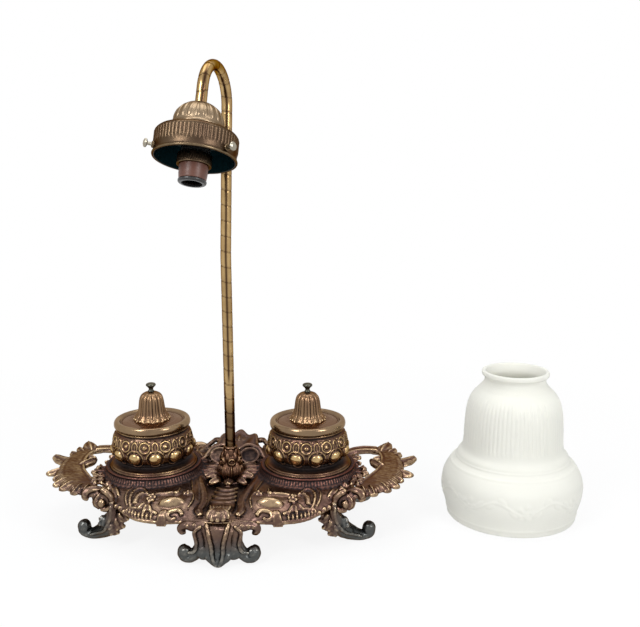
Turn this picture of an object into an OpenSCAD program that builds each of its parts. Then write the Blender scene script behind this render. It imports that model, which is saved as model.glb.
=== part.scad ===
// Desk inkstand: a cast brass tray on six scroll feet with two hinged-lid inkwells,
// a bent tube lamp with a screw-held shade gallery, and its bell shade standing beside it.
// Millimetres, +Z up, origin on the desk under the centre of the lamp's stem, front towards -Y.

/* [Tray] */
// Distance between the two inkwells, centre to centre
well_pitch = 128; // [116:1:150]
// Half depth of the tray's apron between the feet
apron_y = 73; // [70:0.5:80]
// Height of the tray's plate above the desk
tray_top_z = 43.5; // [41:0.5:50]
// Height of the apron's lower edge above the desk
apron_z = 30; // [27:0.5:32]
// Wall of the cast tray
tray_wall = 3; // [2:0.1:4]
// Outer radius of the raised seat under each inkwell
seat_r = 38; // [37:0.5:40]
// Height of the raised seat above the plate
seat_h = 7; // [5:0.1:9]
// Depth of the recess that centres the inkwell's foot
seat_recess = 1; // [0.5:0.1:2]
// Depth of the valley that runs between the two seats
valley_d = 8; // [5:0.5:9]
// Half width of the valley at the plate
valley_w = 24; // [22:0.5:25]

/* [Wings] */
// Reach of a wing's leaf tip beyond the inkwell's centre
wing_reach = 91; // [84:0.5:100]
// Half depth of a wing
wing_half_depth = 55; // [50:0.5:60]
// Width of the wing's C-scroll at its narrow end
band_w = 11; // [8:0.5:14]
// Width of the wing's C-scroll at its broad end
band_broad_w = 19; // [15:0.5:22]
// Thickness of the wing's C-scroll
band_t = 6.5; // [4:0.1:9]

/* [Feet] */
// Distance of a centre foot's toe from the middle of the tray
toe_y = 86; // [82:0.5:95]
// Distance of a centre foot's knee from the middle of the tray
knee_y = 82; // [80:0.5:84]
// Height of the centre foot's knee
knee_z = 34; // [33:0.5:35]
// Half width of a centre foot across its lower scrolls
foot_half_w = 29; // [24:0.5:34]
// Distance of a side leg's foot from the tray's centre line
leg_x = 105; // [98:0.5:114]
// Distance of a side leg's foot in front of or behind the middle
leg_y = 37; // [32:0.5:42]
// Height of a side leg's root under the tray
leg_root_z = 34; // [32:0.5:36]
// Radius of the foot screws' shanks
foot_screw_r = 1.6; // [1.2:0.1:2]

/* [Inkwells] */
// Radius of the inkwell's foot ring
well_foot_r = 35.4; // [33:0.1:36]
// Radius of the waist above the foot ring
well_waist_r = 27.6; // [26:0.1:30]
// Greatest radius of the bowl without its bosses
bowl_r = 33.6; // [32:0.1:34.5]
// Height of the inkwell from its foot to its rim
well_h = 32; // [29:0.1:36]
// Radius of the rim
well_rim_r = 29.6; // [29:0.1:30.5]
// Radius of the cavity that holds the ink liner
well_bore_r = 26.6; // [24:0.1:27]
// Depth of that cavity
well_bore_h = 21.7; // [18:0.1:22]
// Number of bosses round the bowl
boss_n = 12; // [8:1:16]
// Radius of a boss
boss_r = 4; // [3:0.1:5]
// Wall of the ink liner
liner_wall = 2.2; // [1.5:0.1:3]
// Clearance between liner and cavity
liner_gap = 0.3; // [0.1:0.05:0.5]
// Radius of the screw that holds each inkwell down
well_screw_r = 2; // [1.5:0.1:2.5]

/* [Lids] */
// Radius of the lid's rolled rim
lid_r = 31; // [30.5:0.1:32]
// Thickness of the lid at its rim
lid_t = 6.4; // [5.5:0.1:8]
// Thickness of the lid's plate
lid_plate_t = 2.6; // [2:0.1:3.5]
// Gap between a closed lid and the inkwell's rim
lid_gap = 0.3; // [0.2:0.05:0.6]
// Radius of the hinge's knuckles
knuckle_r = 2.6; // [2.3:0.1:2.9]
// Length of the lid's own knuckle
knuckle_l = 5.6; // [4:0.1:8]
// Length of each knuckle on the inkwell
well_knuckle_l = 5; // [3:0.1:7]
// Radius of the hinge pin
hinge_pin_r = 1.1; // [0.8:0.05:1.4]
// Radius of the fluted bell's flared foot
bell_r = 15; // [13:0.5:17]
// Height of the fluted bell
bell_h = 23.2; // [20:0.2:28]
// Wall of the fluted bell
bell_wall = 2; // [1.5:0.1:2.5]
// Number of flutes round the bell
flute_n = 14; // [10:1:18]
// Radius of the knob's head
knob_r = 4.1; // [3:0.1:6]
// Height of the knob above the bell
knob_h = 7.4; // [5:0.1:10]
// Radius of the knob's screw
knob_screw_r = 1.7; // [1.2:0.1:2]

/* [Lamp tube] */
// Outer radius of the tube
tube_r = 4.25; // [3.5:0.05:5]
// Wall of the tube
tube_wall = 1; // [0.6:0.1:1.5]
// Height at which the stem starts to lean back
stem_z = 218; // [180:1:260]
// Angle that the stem leans back
lean_deg = 5.4; // [3:0.1:9]
// Radius of the bend into the lean
lean_r = 90; // [60:1:140]
// Length of the leaning stretch
lean_l = 112; // [90:1:140]
// Radius of the arch
arch_r = 26; // [22:0.5:34]
// Straight length between the arch and the canopy
drop_l = 14; // [10:0.5:24]
// Angle that the arm turns away from straight ahead
arm_turn = 12.5; // [0:0.5:30]
// Tilt of the lamp's head
head_tilt = 21; // [12:0.5:32]
// Clearance round the tube in the pieces that it passes through
tube_gap = 0.06; // [0.03:0.01:0.1]
// Radius of the cup that the stem stands in
cup_r = 10.8; // [9.5:0.1:13]
// Height of that cup
cup_h = 28; // [24:0.5:31]

/* [Lamp head] */
// Inner radius of the shade gallery
gallery_r = 28.75; // [28:0.05:31]
// Wall of the gallery
gallery_wall = 0.9; // [0.7:0.05:1.5]
// Height of the gallery from its opening to its top plate
gallery_h = 26; // [24:0.5:32]
// Height of the fluted band's lower edge above the opening
band_z = 7.5; // [7.2:0.1:8]
// Height of the fluted band
band_h = 10.5; // [8:0.1:11]
// Number of flutes round the gallery
gallery_flute_n = 54; // [36:1:66]
// Radius of the canopy over the gallery
canopy_r = 18.5; // [16:0.1:20]
// Height of the canopy
canopy_h = 16; // [13:0.2:20]
// Outer radius of the lampholder's cap
holder_r = 10.5; // [9.5:0.1:12]
// How far the lampholder stands out of the gallery
holder_out = 17.5; // [14:0.5:24]
// Radius of the lampholder's socket
socket_r = 6.9; // [6.5:0.05:7.2]
// Radius of the thumbscrews' shanks
thumb_r = 1.3; // [1:0.05:1.6]
// Height of the thumbscrews above the opening
thumb_z = 4.8; // [4:0.1:5.2]
// Radius of the thumbscrews' heads
thumb_head_r = 3.2; // [2.5:0.1:4]

/* [Shade] */
// Radius of the shade's lip
lip_r = 27.5; // [26:0.1:28]
// Height of the shade
shade_h = 124; // [112:1:136]
// Greatest radius of the shade
shade_r = 59; // [56:0.5:64]
// Radius of the shade's body above its step
shade_body_r = 40.5; // [38:0.5:43]
// Wall of the shade
shade_wall = 2.8; // [2:0.1:4]
// Distance of the shade beside the tray's centre
shade_x = 236; // [232:1:270]
// Distance of the shade behind the tray's centre
shade_y = 19; // [-20:1:40]

/* [Hidden] */
$fn = 64;

well_x = well_pitch / 2;
seat_floor_z = tray_top_z + seat_h - seat_recess;
well_rim_z = seat_floor_z + well_h;
lid_z = well_rim_z + lid_gap;
plate_z = lid_z + lid_t - 0.8;
hinge_y = lid_r + knuckle_r + 0.6;
hinge_z = lid_z + knuckle_r * 0.3;
bell_top_z = plate_z + bell_h;
plate_under_z = tray_top_z - tray_wall;
plate_mid_z = tray_top_z - tray_wall / 2;
valley_z = tray_top_z - valley_d;
valley_under_z = valley_z - tray_wall;
stem_foot_z = valley_z + 1;
screw_gap = 0.05;
pin_gap = 0.05;
knuckle_gap = 0.3;

// ---------------------------------------------------------------- curves and sweeps
function mix(a, b, t) = a + (b - a) * t;
function unit(v) = v / norm(v);
function at(list, i) = list[max(0, min(len(list) - 1, i))];
// Point on the smooth curve through the list, for t from 0 to len - 1
function curve(list, t) =
    let (i = min(floor(t), len(list) - 2), u = t - i)
    let (a = at(list, i - 1), b = at(list, i), c = at(list, i + 1), d = at(list, i + 2))
    0.5 * (2 * b + (c - a) * u + (2 * a - 5 * b + 4 * c - d) * u * u
        + (3 * b - a - 3 * c + d) * u * u * u);
// The same round a closed loop
function loop_curve(list, t) =
    let (n = len(list), i = floor(t), u = t - i)
    let (a = list[(i + n - 1) % n], b = list[i % n], c = list[(i + 1) % n], d = list[(i + 2) % n])
    0.5 * (2 * b + (c - a) * u + (2 * a - 5 * b + 4 * c - d) * u * u
        + (3 * b - a - 3 * c + d) * u * u * u);

// A cast scroll: an oval section swept along a smooth path. Each stop of the path is
// [x, y, z, half width, half thickness]. Its width lies level, or along wide if that is given.
module scroll(path, wide = undef, rings = 12, sides = 8) {
    stops = [for (i = [0 : rings]) curve(path, i * (len(path) - 1) / rings)];
    centres = [for (s = stops) [s[0], s[1], s[2]]];
    points = [for (i = [0 : rings])
        let (t = unit(at(centres, i + 1) - at(centres, i - 1)))
        let (over = unit(is_undef(wide) ? cross(t, cross([0, 0, 1], t)) : cross(t, wide)))
        let (side = cross(over, t))
        for (k = [0 : sides - 1])
            let (a = 360 * (k + 0.5) / sides)
            centres[i] + side * stops[i][3] * cos(a) + over * stops[i][4] * sin(a)];
    walls = [for (i = [0 : rings - 1], k = [0 : sides - 1])
        let (n = (k + 1) % sides)
        [i * sides + k, (i + 1) * sides + k, (i + 1) * sides + n, i * sides + n]];
    first_cap = [for (k = [0 : sides - 1]) k];
    last_cap = [for (k = [sides - 1 : -1 : 0]) rings * sides + k];
    polyhedron(points, concat(walls, [first_cap], [last_cap]), convexity = 6);
}

// Two copies, one on each side of the middle plane
module both_sides() {
    children();
    mirror([1, 0, 0]) children();
}

module front_and_rear() {
    children();
    mirror([0, 1, 0]) children();
}

module round_bar(p, q, r) {
    translate(p)
        rotate([0, acos((q - p).z / norm(q - p)), atan2((q - p).y, (q - p).x)])
            cylinder(r = r, h = norm(q - p));
}

// ---------------------------------------------------------------- tray
// Control points of a quarter of the plan outline, from the front middle to the side:
// [x, y, height of the lower edge]
seat_edge = seat_r - 1;
function round_seat(a, r) = [well_x + r * sin(a), -r * cos(a)];
edge_top_z = tray_top_z - 9;
upper_quarter = [
    [0, -knee_y + 14], [valley_w / 2, -knee_y + 16], [valley_w, -seat_edge - 14],
    [well_x - 22, -seat_edge - 4],
    round_seat(-4, seat_edge), round_seat(20, seat_edge), round_seat(38, seat_edge),
    round_seat(54, seat_edge), round_seat(73, seat_edge), round_seat(90, seat_edge)
];
lower_quarter = [
    [0, -knee_y, knee_z - 1.5], [20, -knee_y + 3, knee_z - 2], [well_x - 33, -apron_y - 1, apron_z],
    [well_x - 18, -apron_y, apron_z - 1], [well_x - 1, -apron_y + 3, apron_z],
    [well_x + 12, -apron_y + 13, apron_z + 2], [well_x + 24, -apron_y + 25, edge_top_z],
    [well_x + 33, -apron_y + 39, edge_top_z], [well_x + 38, -16, edge_top_z],
    [well_x + seat_edge + 1.5, 0, edge_top_z]
];
function flip(p, sx, sy) = len(p) == 3 ? [p.x * sx, p.y * sy, p.z] : [p.x * sx, p.y * sy];
// A quarter outline mirrored into a closed loop, anticlockwise from the front middle
function around(q) = let (n = len(q)) concat(
    [for (i = [0 : n - 1]) q[i]],
    [for (i = [n - 2 : -1 : 0]) flip(q[i], 1, -1)],
    [for (i = [1 : n - 1]) flip(q[i], -1, -1)],
    [for (i = [n - 2 : -1 : 1]) flip(q[i], -1, 1)]
);
outline_n = 72;
function sampled(q) = let (c = around(q))
    [for (i = [0 : outline_n - 1]) loop_curve(c, i * len(c) / outline_n)];
upper_outline = sampled(upper_quarter);
lower_outline = sampled(lower_quarter);
shell_levels = 4;
// Height of the plate, which dips into the valley between the seats
function plate_z_at(x) =
    let (u = max(0, min(1, 2 - 2 * abs(x) / valley_w)))
    tray_top_z - valley_d * u * u * (3 - 2 * u);
// Outline at one level of the bulging apron, u from 0 at the plate to 90 at the lower edge
function shell_ring(u) = [for (i = [0 : outline_n - 1])
    let (a = upper_outline[i], b = lower_outline[i])
    [mix(a.x, b.x, sin(u)), mix(a.y, b.y, sin(u)), mix(b.z, plate_z_at(a.x), cos(u))]];
// The same ring, moved into the casting by its wall
function inner_ring(ring, u) = [for (i = [0 : outline_n - 1])
    let (b = ring[(i + 1) % outline_n], a = ring[(i + outline_n - 1) % outline_n])
    let (d = unit([b.x - a.x, b.y - a.y]))
    ring[i] + [-d.y * tray_wall, d.x * tray_wall, -tray_wall * cos(u)]];

// The hollow casting, open below
module tray_shell() {
    outer = [for (k = [0 : shell_levels]) shell_ring(90 * k / shell_levels)];
    inner = [for (k = [0 : shell_levels]) inner_ring(outer[k], 90 * k / shell_levels)];
    n = outline_n;
    m = shell_levels + 1;
    points = [for (r = concat(outer, inner), p = r) p];
    outer_walls = [for (k = [0 : shell_levels - 1], i = [0 : n - 1])
        let (j = (i + 1) % n)
        [k * n + i, k * n + j, (k + 1) * n + j, (k + 1) * n + i]];
    inner_walls = [for (k = [0 : shell_levels - 1], i = [0 : n - 1])
        let (j = (i + 1) % n)
        [(m + k) * n + i, (m + k + 1) * n + i, (m + k + 1) * n + j, (m + k) * n + j]];
    rim = [for (i = [0 : n - 1])
        let (j = (i + 1) % n)
        [shell_levels * n + i, shell_levels * n + j,
            (m + shell_levels) * n + j, (m + shell_levels) * n + i]];
    // Plate and ceiling in strips, each from the front edge to the points behind that mirror it
    front = [for (t = [0 : n / 2]) (n * 3 / 4 + t) % n];
    rear = [for (t = [0 : n / 2]) (n * 7 / 4 - t) % n];
    strips = concat(
        [[front[0], front[1], rear[1]]],
        [for (t = [1 : n / 2 - 2]) [front[t], front[t + 1], rear[t + 1], rear[t]]],
        [[front[n / 2 - 1], front[n / 2], rear[n / 2 - 1]]]
    );
    plate = [for (s = strips) [for (k = [len(s) - 1 : -1 : 0]) s[k]]];
    ceiling = [for (s = strips) [for (k = s) m * n + k]];
    polyhedron(points, concat(outer_walls, inner_walls, rim, plate, ceiling), convexity = 10);
}

// One wing: a C-scroll from the rear bar round to the front, with leaves on its outer side
wing_z = tray_top_z + 2;
tip_x = well_x + wing_reach;
module wing() {
    w0 = band_w / 2;
    w1 = band_broad_w / 2;
    h = band_t / 2;
    rear_y = wing_half_depth;
    scroll([
        [well_x + 30, rear_y - 21, wing_z - 3, 4, h], [well_x + 38, rear_y - 13, wing_z - 2, 3.5, h],
        [well_x + 50, rear_y - 10, wing_z - 1, 3.5, h], [well_x + 63, rear_y - 9, wing_z, 4.5, h],
        [tip_x - 22, rear_y - 20, wing_z, w0, h], [tip_x - 21, rear_y - 36, wing_z, w0, h],
        [tip_x - 22, 1, wing_z - 0.5, mix(w0, w1, 0.4), h],
        [tip_x - 26, -16, wing_z - 1, mix(w0, w1, 0.8), h],
        [tip_x - 34, -rear_y + 22, wing_z - 1.5, w1, h],
        [tip_x - 44, -rear_y + 12, wing_z - 2.5, w1 - 1, h],
        [well_x + 36, -rear_y + 8, wing_z - 4, 6, h], [well_x + 28, -rear_y + 13, wing_z - 6, 4.5, h]
    ], rings = 24);
    // Leaves: [root, tip, half width at the root, fall of the tip]
    leaves = [
        [[tip_x - 22, 10], [tip_x, 23], 6, -2], [[tip_x - 24, -6], [tip_x - 6, -20], 6, -3],
        [[tip_x - 29, -24], [tip_x - 19, -rear_y + 16], 6, -2],
        [[tip_x - 38, -34], [tip_x - 30, -rear_y + 5], 6, -2],
        [[tip_x - 46, -38], [tip_x - 42, -rear_y - 1], 6, -3],
        [[well_x + 35, -44], [well_x + 40, -rear_y - 6], 5, -4],
        [[tip_x - 24, 33], [tip_x - 21, rear_y - 3], 6, 1], [[tip_x - 26, 24], [tip_x - 37, 15], 4, -1],
        [[tip_x - 30, -8], [tip_x - 36, -1], 4, -2]
    ];
    for (leaf = leaves)
        let (a = leaf[0], b = leaf[1], w = leaf[2], m = (a + b) / 2)
        scroll([
            [a.x, a.y, wing_z - 1, w, h * 0.8], [m.x, m.y, wing_z - 1 + leaf[3] * 0.3, w, h * 0.75],
            [b.x, b.y, wing_z - 1 + leaf[3], w * 0.45, h * 0.45]
        ], rings = 4);
}

screw_spot = [well_x + 14, -apron_y + 33];
foot_screw_y = knee_y - 17;
pad_t = 3;
screw_hold = 5;
leg_pad_z = leg_root_z - 6;
foot_pad_z = knee_z - 6;
// Raised line that frames the apron's panel in front of an inkwell, [share of the way round, u]
module panel_frame() {
    quarter = outline_n / 4;
    spots = [[0.27, 20], [0.3, 50], [0.34, 78], [0.45, 84], [0.56, 80], [0.62, 60], [0.6, 30]];
    scroll([for (p = spots)
        let (q = shell_ring(p[1])[round(p[0] * quarter)])
        [q.x, q.y, q.z, 1.6, 1.6]], rings = 14, sides = 6);
}

// Ridge that runs down the valley's side to the front edge
module valley_ridge() {
    z = tray_top_z;
    scroll([
        [valley_w + 2, -8, z, 1.5, 1.5], [valley_w - 2, -26, z, 2, 2], [valley_w - 6, -44, z - 1, 2, 2],
        [valley_w - 8, -knee_y + 20, z - 2, 2, 2], [valley_w - 4, -knee_y + 7, z - 5, 2, 2]
    ], rings = 8, sides = 6);
}

// Gold C-scroll on the shoulder where a wing leaves the tray, over a side leg
module shoulder_scroll() {
    z = tray_top_z;
    translate([well_x + 29.5, -leg_y - 14.5, z - 8]) sphere(r = 3.4, $fn = 24);
    scroll([
        [well_x + 33, -leg_y - 11, z - 0.5, 1.6, 1.6], [well_x + 28, -leg_y - 13, z + 0.5, 2.2, 2.2],
        [well_x + 23, -leg_y - 13, z - 4, 2.6, 2.6], [well_x + 23, -leg_y - 14, z - 10, 2.6, 2.6],
        [well_x + 28, -leg_y - 15, z - 12, 2.4, 2.4], [well_x + 34, -leg_y - 14, z - 11, 2.6, 2.6],
        [well_x + 35, -leg_y - 12, z - 7, 3, 3], [well_x + 32, -leg_y - 12, z - 4, 1.8, 1.8]
    ], rings = 12, sides = 6);
}

// Rippled tongue in the valley in front of the stem, with a rib every pen_step
pen_step = 7;
module pen_rest() {
    scroll([
        [0, -cup_r - 8, valley_z - 0.5, 9, 2.2], [0, -40, valley_z, 11, 2.5],
        [0, -knee_y + 22, valley_z + 1, 12, 2.5], [0, -knee_y + 8, valley_z, 9, 3]
    ], rings = 8, sides = 10);
    for (i = [0 : 4])
        let (y = -cup_r - 16 - pen_step * i, z = valley_z + 2.1 + 0.3 * i)
        scroll([
            [-12, y + 2, z - 1, 1.6, 1], [-6, y - 0.5, z + 0.4, 2, 1.2], [0, y - 1, z + 0.8, 2, 1.3],
            [6, y - 0.5, z + 0.4, 2, 1.2], [12, y + 2, z - 1, 1.6, 1]
        ], wide = [0, 1, 0], rings = 6, sides = 6);
}

// Shell crest at the rear: lobes that fan out from behind the stem, and a volute at each side
module crest() {
    z = tray_top_z;
    root_y = 26;
    for (lobe = [[0, knee_y - 3, 7], [13, knee_y - 13, 7], [23, knee_y - 30, 6]], side = [-1, 1])
        if (side == 1 || lobe[0] > 0)
            scroll([
                [side * lobe[0] * 0.15, root_y, valley_z + 1, 4, 3],
                [side * lobe[0] * 0.6, mix(root_y, lobe[1], 0.5), z + 1, lobe[2], 3.5],
                [side * lobe[0] * 0.95, mix(root_y, lobe[1], 0.88), z + 4.5, lobe[2], 3],
                [side * lobe[0], lobe[1], z + 3.5, lobe[2] * 0.6, 2]
            ], rings = 8);
    both_sides() scroll([
        [13, 22, valley_z + 2, 2.5, 2.5], [18, 30, z, 2.5, 2.5], [13, 37, z + 2, 2.5, 2.5],
        [7, 32, z + 2, 2.2, 2.2], [10, 27, z + 1, 2, 2], [13, 30, z + 1, 1.6, 1.6]
    ], rings = 12, sides = 6);
}

// Raised seat under an inkwell, with its moulded wall
module seat() {
    translate([well_x, 0, 0])
        rotate_extrude()
            polygon([
                [0, plate_mid_z], [seat_edge - 1.5, plate_mid_z], [seat_r + 1, plate_mid_z + 0.7],
                [seat_r + 1, tray_top_z + 0.8], [seat_r - 0.6, tray_top_z + 1.3],
                [seat_r - 0.6, tray_top_z + seat_h - 1.3], [seat_r, tray_top_z + seat_h - 0.8],
                [seat_r, tray_top_z + seat_h - 0.2], [seat_r - 0.3, tray_top_z + seat_h],
                [well_foot_r + 0.6, tray_top_z + seat_h], [well_foot_r + 0.6, seat_floor_z],
                [0, seat_floor_z]
            ]);
}

module tray() {
    color("#7a5430")
    difference() {
        union() {
            tray_shell();
            both_sides() seat();
            both_sides() wing();
            // Foot that the stem's cup stands on
            translate([0, 0, valley_z - tray_wall / 2])
                cylinder(r = cup_r + 1.5, h = stem_foot_z - valley_z + tray_wall / 2);
            both_sides() front_and_rear() panel_frame();
            both_sides() front_and_rear() valley_ridge();
            both_sides() shoulder_scroll();
            both_sides() mirror([0, 1, 0]) shoulder_scroll();
            pen_rest();
            crest();
            // Shell bosses over the centre feet
            front_and_rear()
                translate([0, -knee_y + 3, knee_z + 4.2]) sphere(r = 6);
            // Bosses that take the foot screws
            both_sides() front_and_rear()
                translate([screw_spot.x, screw_spot.y, leg_pad_z])
                    cylinder(r = 4.4, h = tray_top_z - 1 - leg_pad_z);
            front_and_rear()
                translate([0, -foot_screw_y, foot_pad_z])
                    cylinder(r = 4.6, h = valley_z - 1 - foot_pad_z);
        }
        translate([0, 0, valley_under_z - 1])
            cylinder(r = tube_r + tube_gap, h = stem_foot_z - valley_under_z + 2);
        both_sides() translate([well_x, 0, plate_under_z - 1])
            cylinder(r = well_screw_r + screw_gap, h = seat_floor_z - plate_under_z + 2);
        both_sides() front_and_rear()
            translate([screw_spot.x, screw_spot.y, leg_pad_z - 1])
                cylinder(r = foot_screw_r + screw_gap, h = screw_hold + 2);
        front_and_rear()
            translate([0, -foot_screw_y, foot_pad_z - 1])
                cylinder(r = foot_screw_r + screw_gap, h = screw_hold + 2);
    }
}

// ---------------------------------------------------------------- feet
// Round pad under the tray that a foot is screwed up by
module pad(spot, z, r) {
    difference() {
        translate([spot.x, spot.y, z - pad_t]) cylinder(r = r, h = pad_t);
        translate([spot.x, spot.y, z - pad_t - 1])
            cylinder(r = foot_screw_r + screw_gap, h = pad_t + 2);
    }
}

// Everything under the desk's surface, which cuts each foot's flat
module below_desk() {
    translate([-2 * leg_x, -2 * toe_y, -20]) cube([4 * leg_x, 4 * toe_y, 20]);
}

// Centre foot: an acanthus toe between two scrolls, drawn for the front
module centre_foot() {
    color("#5d4a34")
    difference() {
        union() {
            pad([0, -foot_screw_y], foot_pad_z, 8.5);
            scroll([
                [0, -foot_screw_y - 4, foot_pad_z - 3.2, 7, 2.5], [0, -knee_y + 1, knee_z - 5.7, 12, 3.6],
                [0, -knee_y - 1, 21, 9, 5], [0, -knee_y, 11, 8, 5], [0, -toe_y, 3.8, 7, 4.4],
                [0, -toe_y - 4, 1.6, 3, 1.8]
            ], wide = [1, 0, 0], rings = 10, sides = 10);
            both_sides() scroll([
                [8, -knee_y + 5, knee_z - 8, 4, 4.5], [12, -knee_y + 3, 23, 4.5, 4.5],
                [12.5, -knee_y + 4, 15, 5, 5], [17, -knee_y + 6, 7, 5, 5],
                [foot_half_w - 6, -knee_y + 7, 2.7, 4.5, 3.4], [foot_half_w - 0.5, -knee_y + 7, 8, 4, 3],
                [foot_half_w - 3, -knee_y + 7, 13.5, 3, 2.2]
            ], wide = [0, 1, 0], rings = 12);
            both_sides() scroll([
                [8, -knee_y + 4, knee_z - 6, 3.5, 4], [17, -knee_y + 3, knee_z - 6.5, 3.5, 3.5],
                [24, -knee_y + 4, knee_z - 5.5, 3, 3], [foot_half_w, -knee_y + 5, knee_z - 8, 2.5, 2.5],
                [foot_half_w - 1, -knee_y + 5, knee_z - 12, 2, 2]
            ], wide = [0, 1, 0], rings = 7);
            // Ribs beside the toe's channel
            both_sides() scroll([
                [7, -knee_y - 3, knee_z - 5, 1.8, 1.8], [6.5, -knee_y - 6.5, 20, 1.8, 1.8],
                [5.5, -knee_y - 5, 12, 1.8, 1.8], [5, -toe_y - 3.5, 5, 1.6, 1.6]
            ], wide = [1, 0, 0], rings = 5, sides = 6);
        }
        below_desk();
    }
}

// Side leg: an S-shaped scroll with a curled toe, drawn for the front right corner
module side_leg() {
    color("#5d4a34")
    difference() {
        union() {
            pad(screw_spot, leg_pad_z, 7.5);
            scroll([
                [well_x + 17, -leg_y - 10, leg_pad_z - 2.7, 5, 2],
                [well_x + 22, -leg_y - 12, leg_root_z - 12, 5.5, 5.6],
                [well_x + 24.5, -leg_y - 10, 18.5, 7, 8.3],
                [mix(well_x + 22, leg_x, 0.35), -leg_y - 6, 11, 6.8, 6.8], [leg_x - 5, -leg_y - 1, 5.2, 6, 5],
                [leg_x + 2.5, -leg_y, 2.7, 5.5, 3.6], [leg_x + 9, -leg_y, 6.2, 5.5, 4],
                [leg_x + 8.6, -leg_y, 11, 5, 4.4], [leg_x + 4.6, -leg_y, 12.6, 3, 3]
            ], wide = [0, 1, 0], rings = 16);
            // Volute on the leg's shoulder
            scroll([
                [well_x + 22, -leg_y - 12, leg_root_z - 9, 3, 2.4],
                [well_x + 27.5, -leg_y - 14, leg_root_z - 8.5, 3.2, 2.4],
                [well_x + 32, -leg_y - 13, leg_root_z - 11, 3.4, 3],
                [well_x + 30.5, -leg_y - 12, leg_root_z - 15.5, 2.5, 2.2]
            ], wide = [0, 1, 0], rings = 6);
        }
        below_desk();
    }
}

module front_foot() { centre_foot(); }
module rear_foot() { mirror([0, 1, 0]) centre_foot(); }
module leg_front_right() { side_leg(); }
module leg_front_left() { mirror([1, 0, 0]) side_leg(); }
module leg_rear_right() { mirror([0, 1, 0]) side_leg(); }
module leg_rear_left() { mirror([1, 0, 0]) mirror([0, 1, 0]) side_leg(); }

// Cheese-head screw pointing up, its head's upper face at the origin
module screw(r, length) {
    translate([0, 0, -1.8 * r]) {
        difference() {
            cylinder(r = 2 * r, h = 1.8 * r);
            translate([0, 0, 0.2 * r]) cube([5 * r, 0.5 * r, 1.2 * r], center = true);
        }
    }
    cylinder(r = r, h = length);
}

module foot_screws() {
    color("#8c8578") {
        both_sides() front_and_rear()
            translate([screw_spot.x, screw_spot.y, leg_pad_z - pad_t])
                screw(foot_screw_r, pad_t + screw_hold);
        front_and_rear()
            translate([0, -foot_screw_y, foot_pad_z - pad_t])
                screw(foot_screw_r, pad_t + screw_hold);
    }
}

// ---------------------------------------------------------------- inkwells
belly_z = seat_floor_z + well_h * 0.53;
bowl_side = [for (a = [-75 : 15 : 70])
    [mix(well_waist_r - 2.2, bowl_r, cos(a)), belly_z + (a < 0 ? well_h * 0.28 : well_h * 0.44) * sin(a)]];
well_profile = concat(
    [
        [0, seat_floor_z], [well_foot_r - 0.4, seat_floor_z], [well_foot_r, seat_floor_z + 0.6],
        [well_foot_r, seat_floor_z + 1.3], [well_foot_r - 0.9, seat_floor_z + 1.8],
        [well_foot_r - 0.6, seat_floor_z + 2.6], [well_foot_r - 1.6, seat_floor_z + 3.2],
        [well_waist_r + 2, seat_floor_z + 3.9], [well_waist_r, seat_floor_z + 5.2],
        [well_waist_r, seat_floor_z + 6.6]
    ],
    bowl_side,
    [
        [well_rim_r - 0.6, well_rim_z - 1.8], [well_rim_r, well_rim_z - 1.2], [well_rim_r, well_rim_z],
        [well_bore_r, well_rim_z], [well_bore_r, well_rim_z - well_bore_h], [0, well_rim_z - well_bore_h]
    ]
);
bracket_x = knuckle_l / 2 + knuckle_gap;
// Metal left between a boss and the cavity behind it
boss_skin = 0.3;
cartouche_r = 2.8;

// Bracket from the bowl's shoulder to a knuckle, drawn in the plane across the hinge
module well_knuckle() {
    rotate([90, 0, 90])
        linear_extrude(well_knuckle_l)
            difference() {
                union() {
                    polygon([
                        [well_bore_r + 1, well_rim_z - 9], [well_bore_r + 1, well_rim_z - 1.5],
                        [hinge_y - knuckle_r + 0.4, hinge_z - 1.3],
                        [hinge_y + knuckle_r * 0.9, hinge_z - 1.2],
                        [hinge_y + 0.5, hinge_z - knuckle_r - 1]
                    ]);
                    translate([hinge_y, hinge_z]) circle(r = knuckle_r);
                }
                translate([hinge_y, hinge_z]) circle(r = hinge_pin_r + pin_gap);
            }
}

module well() {
    color("#7d4e2c")
    difference() {
        union() {
            rotate_extrude() polygon(well_profile);
            for (i = [0 : boss_n - 1])
                rotate([0, 0, 360 * (i + 0.5) / boss_n])
                    translate([well_bore_r + boss_skin + boss_r, 0, belly_z - 3.4])
                        sphere(r = boss_r, $fn = 32);
            // Cartouches between the bosses
            for (i = [0 : boss_n - 1])
                rotate([0, 0, 360 * (i + 0.5) / boss_n])
                    translate([bowl_r - cartouche_r + 0.5, 0, belly_z + 5])
                        sphere(r = cartouche_r, $fn = 24);
            translate([bracket_x, 0, 0]) well_knuckle();
            translate([-bracket_x - well_knuckle_l, 0, 0]) well_knuckle();
        }
        translate([0, 0, seat_floor_z - 1])
            cylinder(r = well_screw_r + screw_gap, h = 8);
    }
}

liner_floor_z = well_rim_z - well_bore_h;
module ink_liner() {
    color("#e4ded0")
        rotate_extrude()
            polygon([
                [0, liner_floor_z], [well_bore_r - liner_gap, liner_floor_z],
                [well_bore_r - liner_gap, well_rim_z - 0.8],
                [well_bore_r - liner_gap - liner_wall, well_rim_z - 0.8],
                [well_bore_r - liner_gap - liner_wall, liner_floor_z + liner_wall + 2],
                [well_bore_r - liner_gap - liner_wall - 2, liner_floor_z + liner_wall],
                [0, liner_floor_z + liner_wall]
            ]);
}

module hinge_pin() {
    half = bracket_x + well_knuckle_l;
    color("#8c8578")
    translate([0, hinge_y, hinge_z]) rotate([0, 90, 0]) {
        translate([0, 0, -half - 0.6]) cylinder(r = hinge_pin_r, h = 2 * half + 1.2);
        for (s = [-1, 1])
            translate([0, 0, s > 0 ? half : -half - 0.7]) cylinder(r = hinge_pin_r + 0.6, h = 0.7);
    }
}

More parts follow.
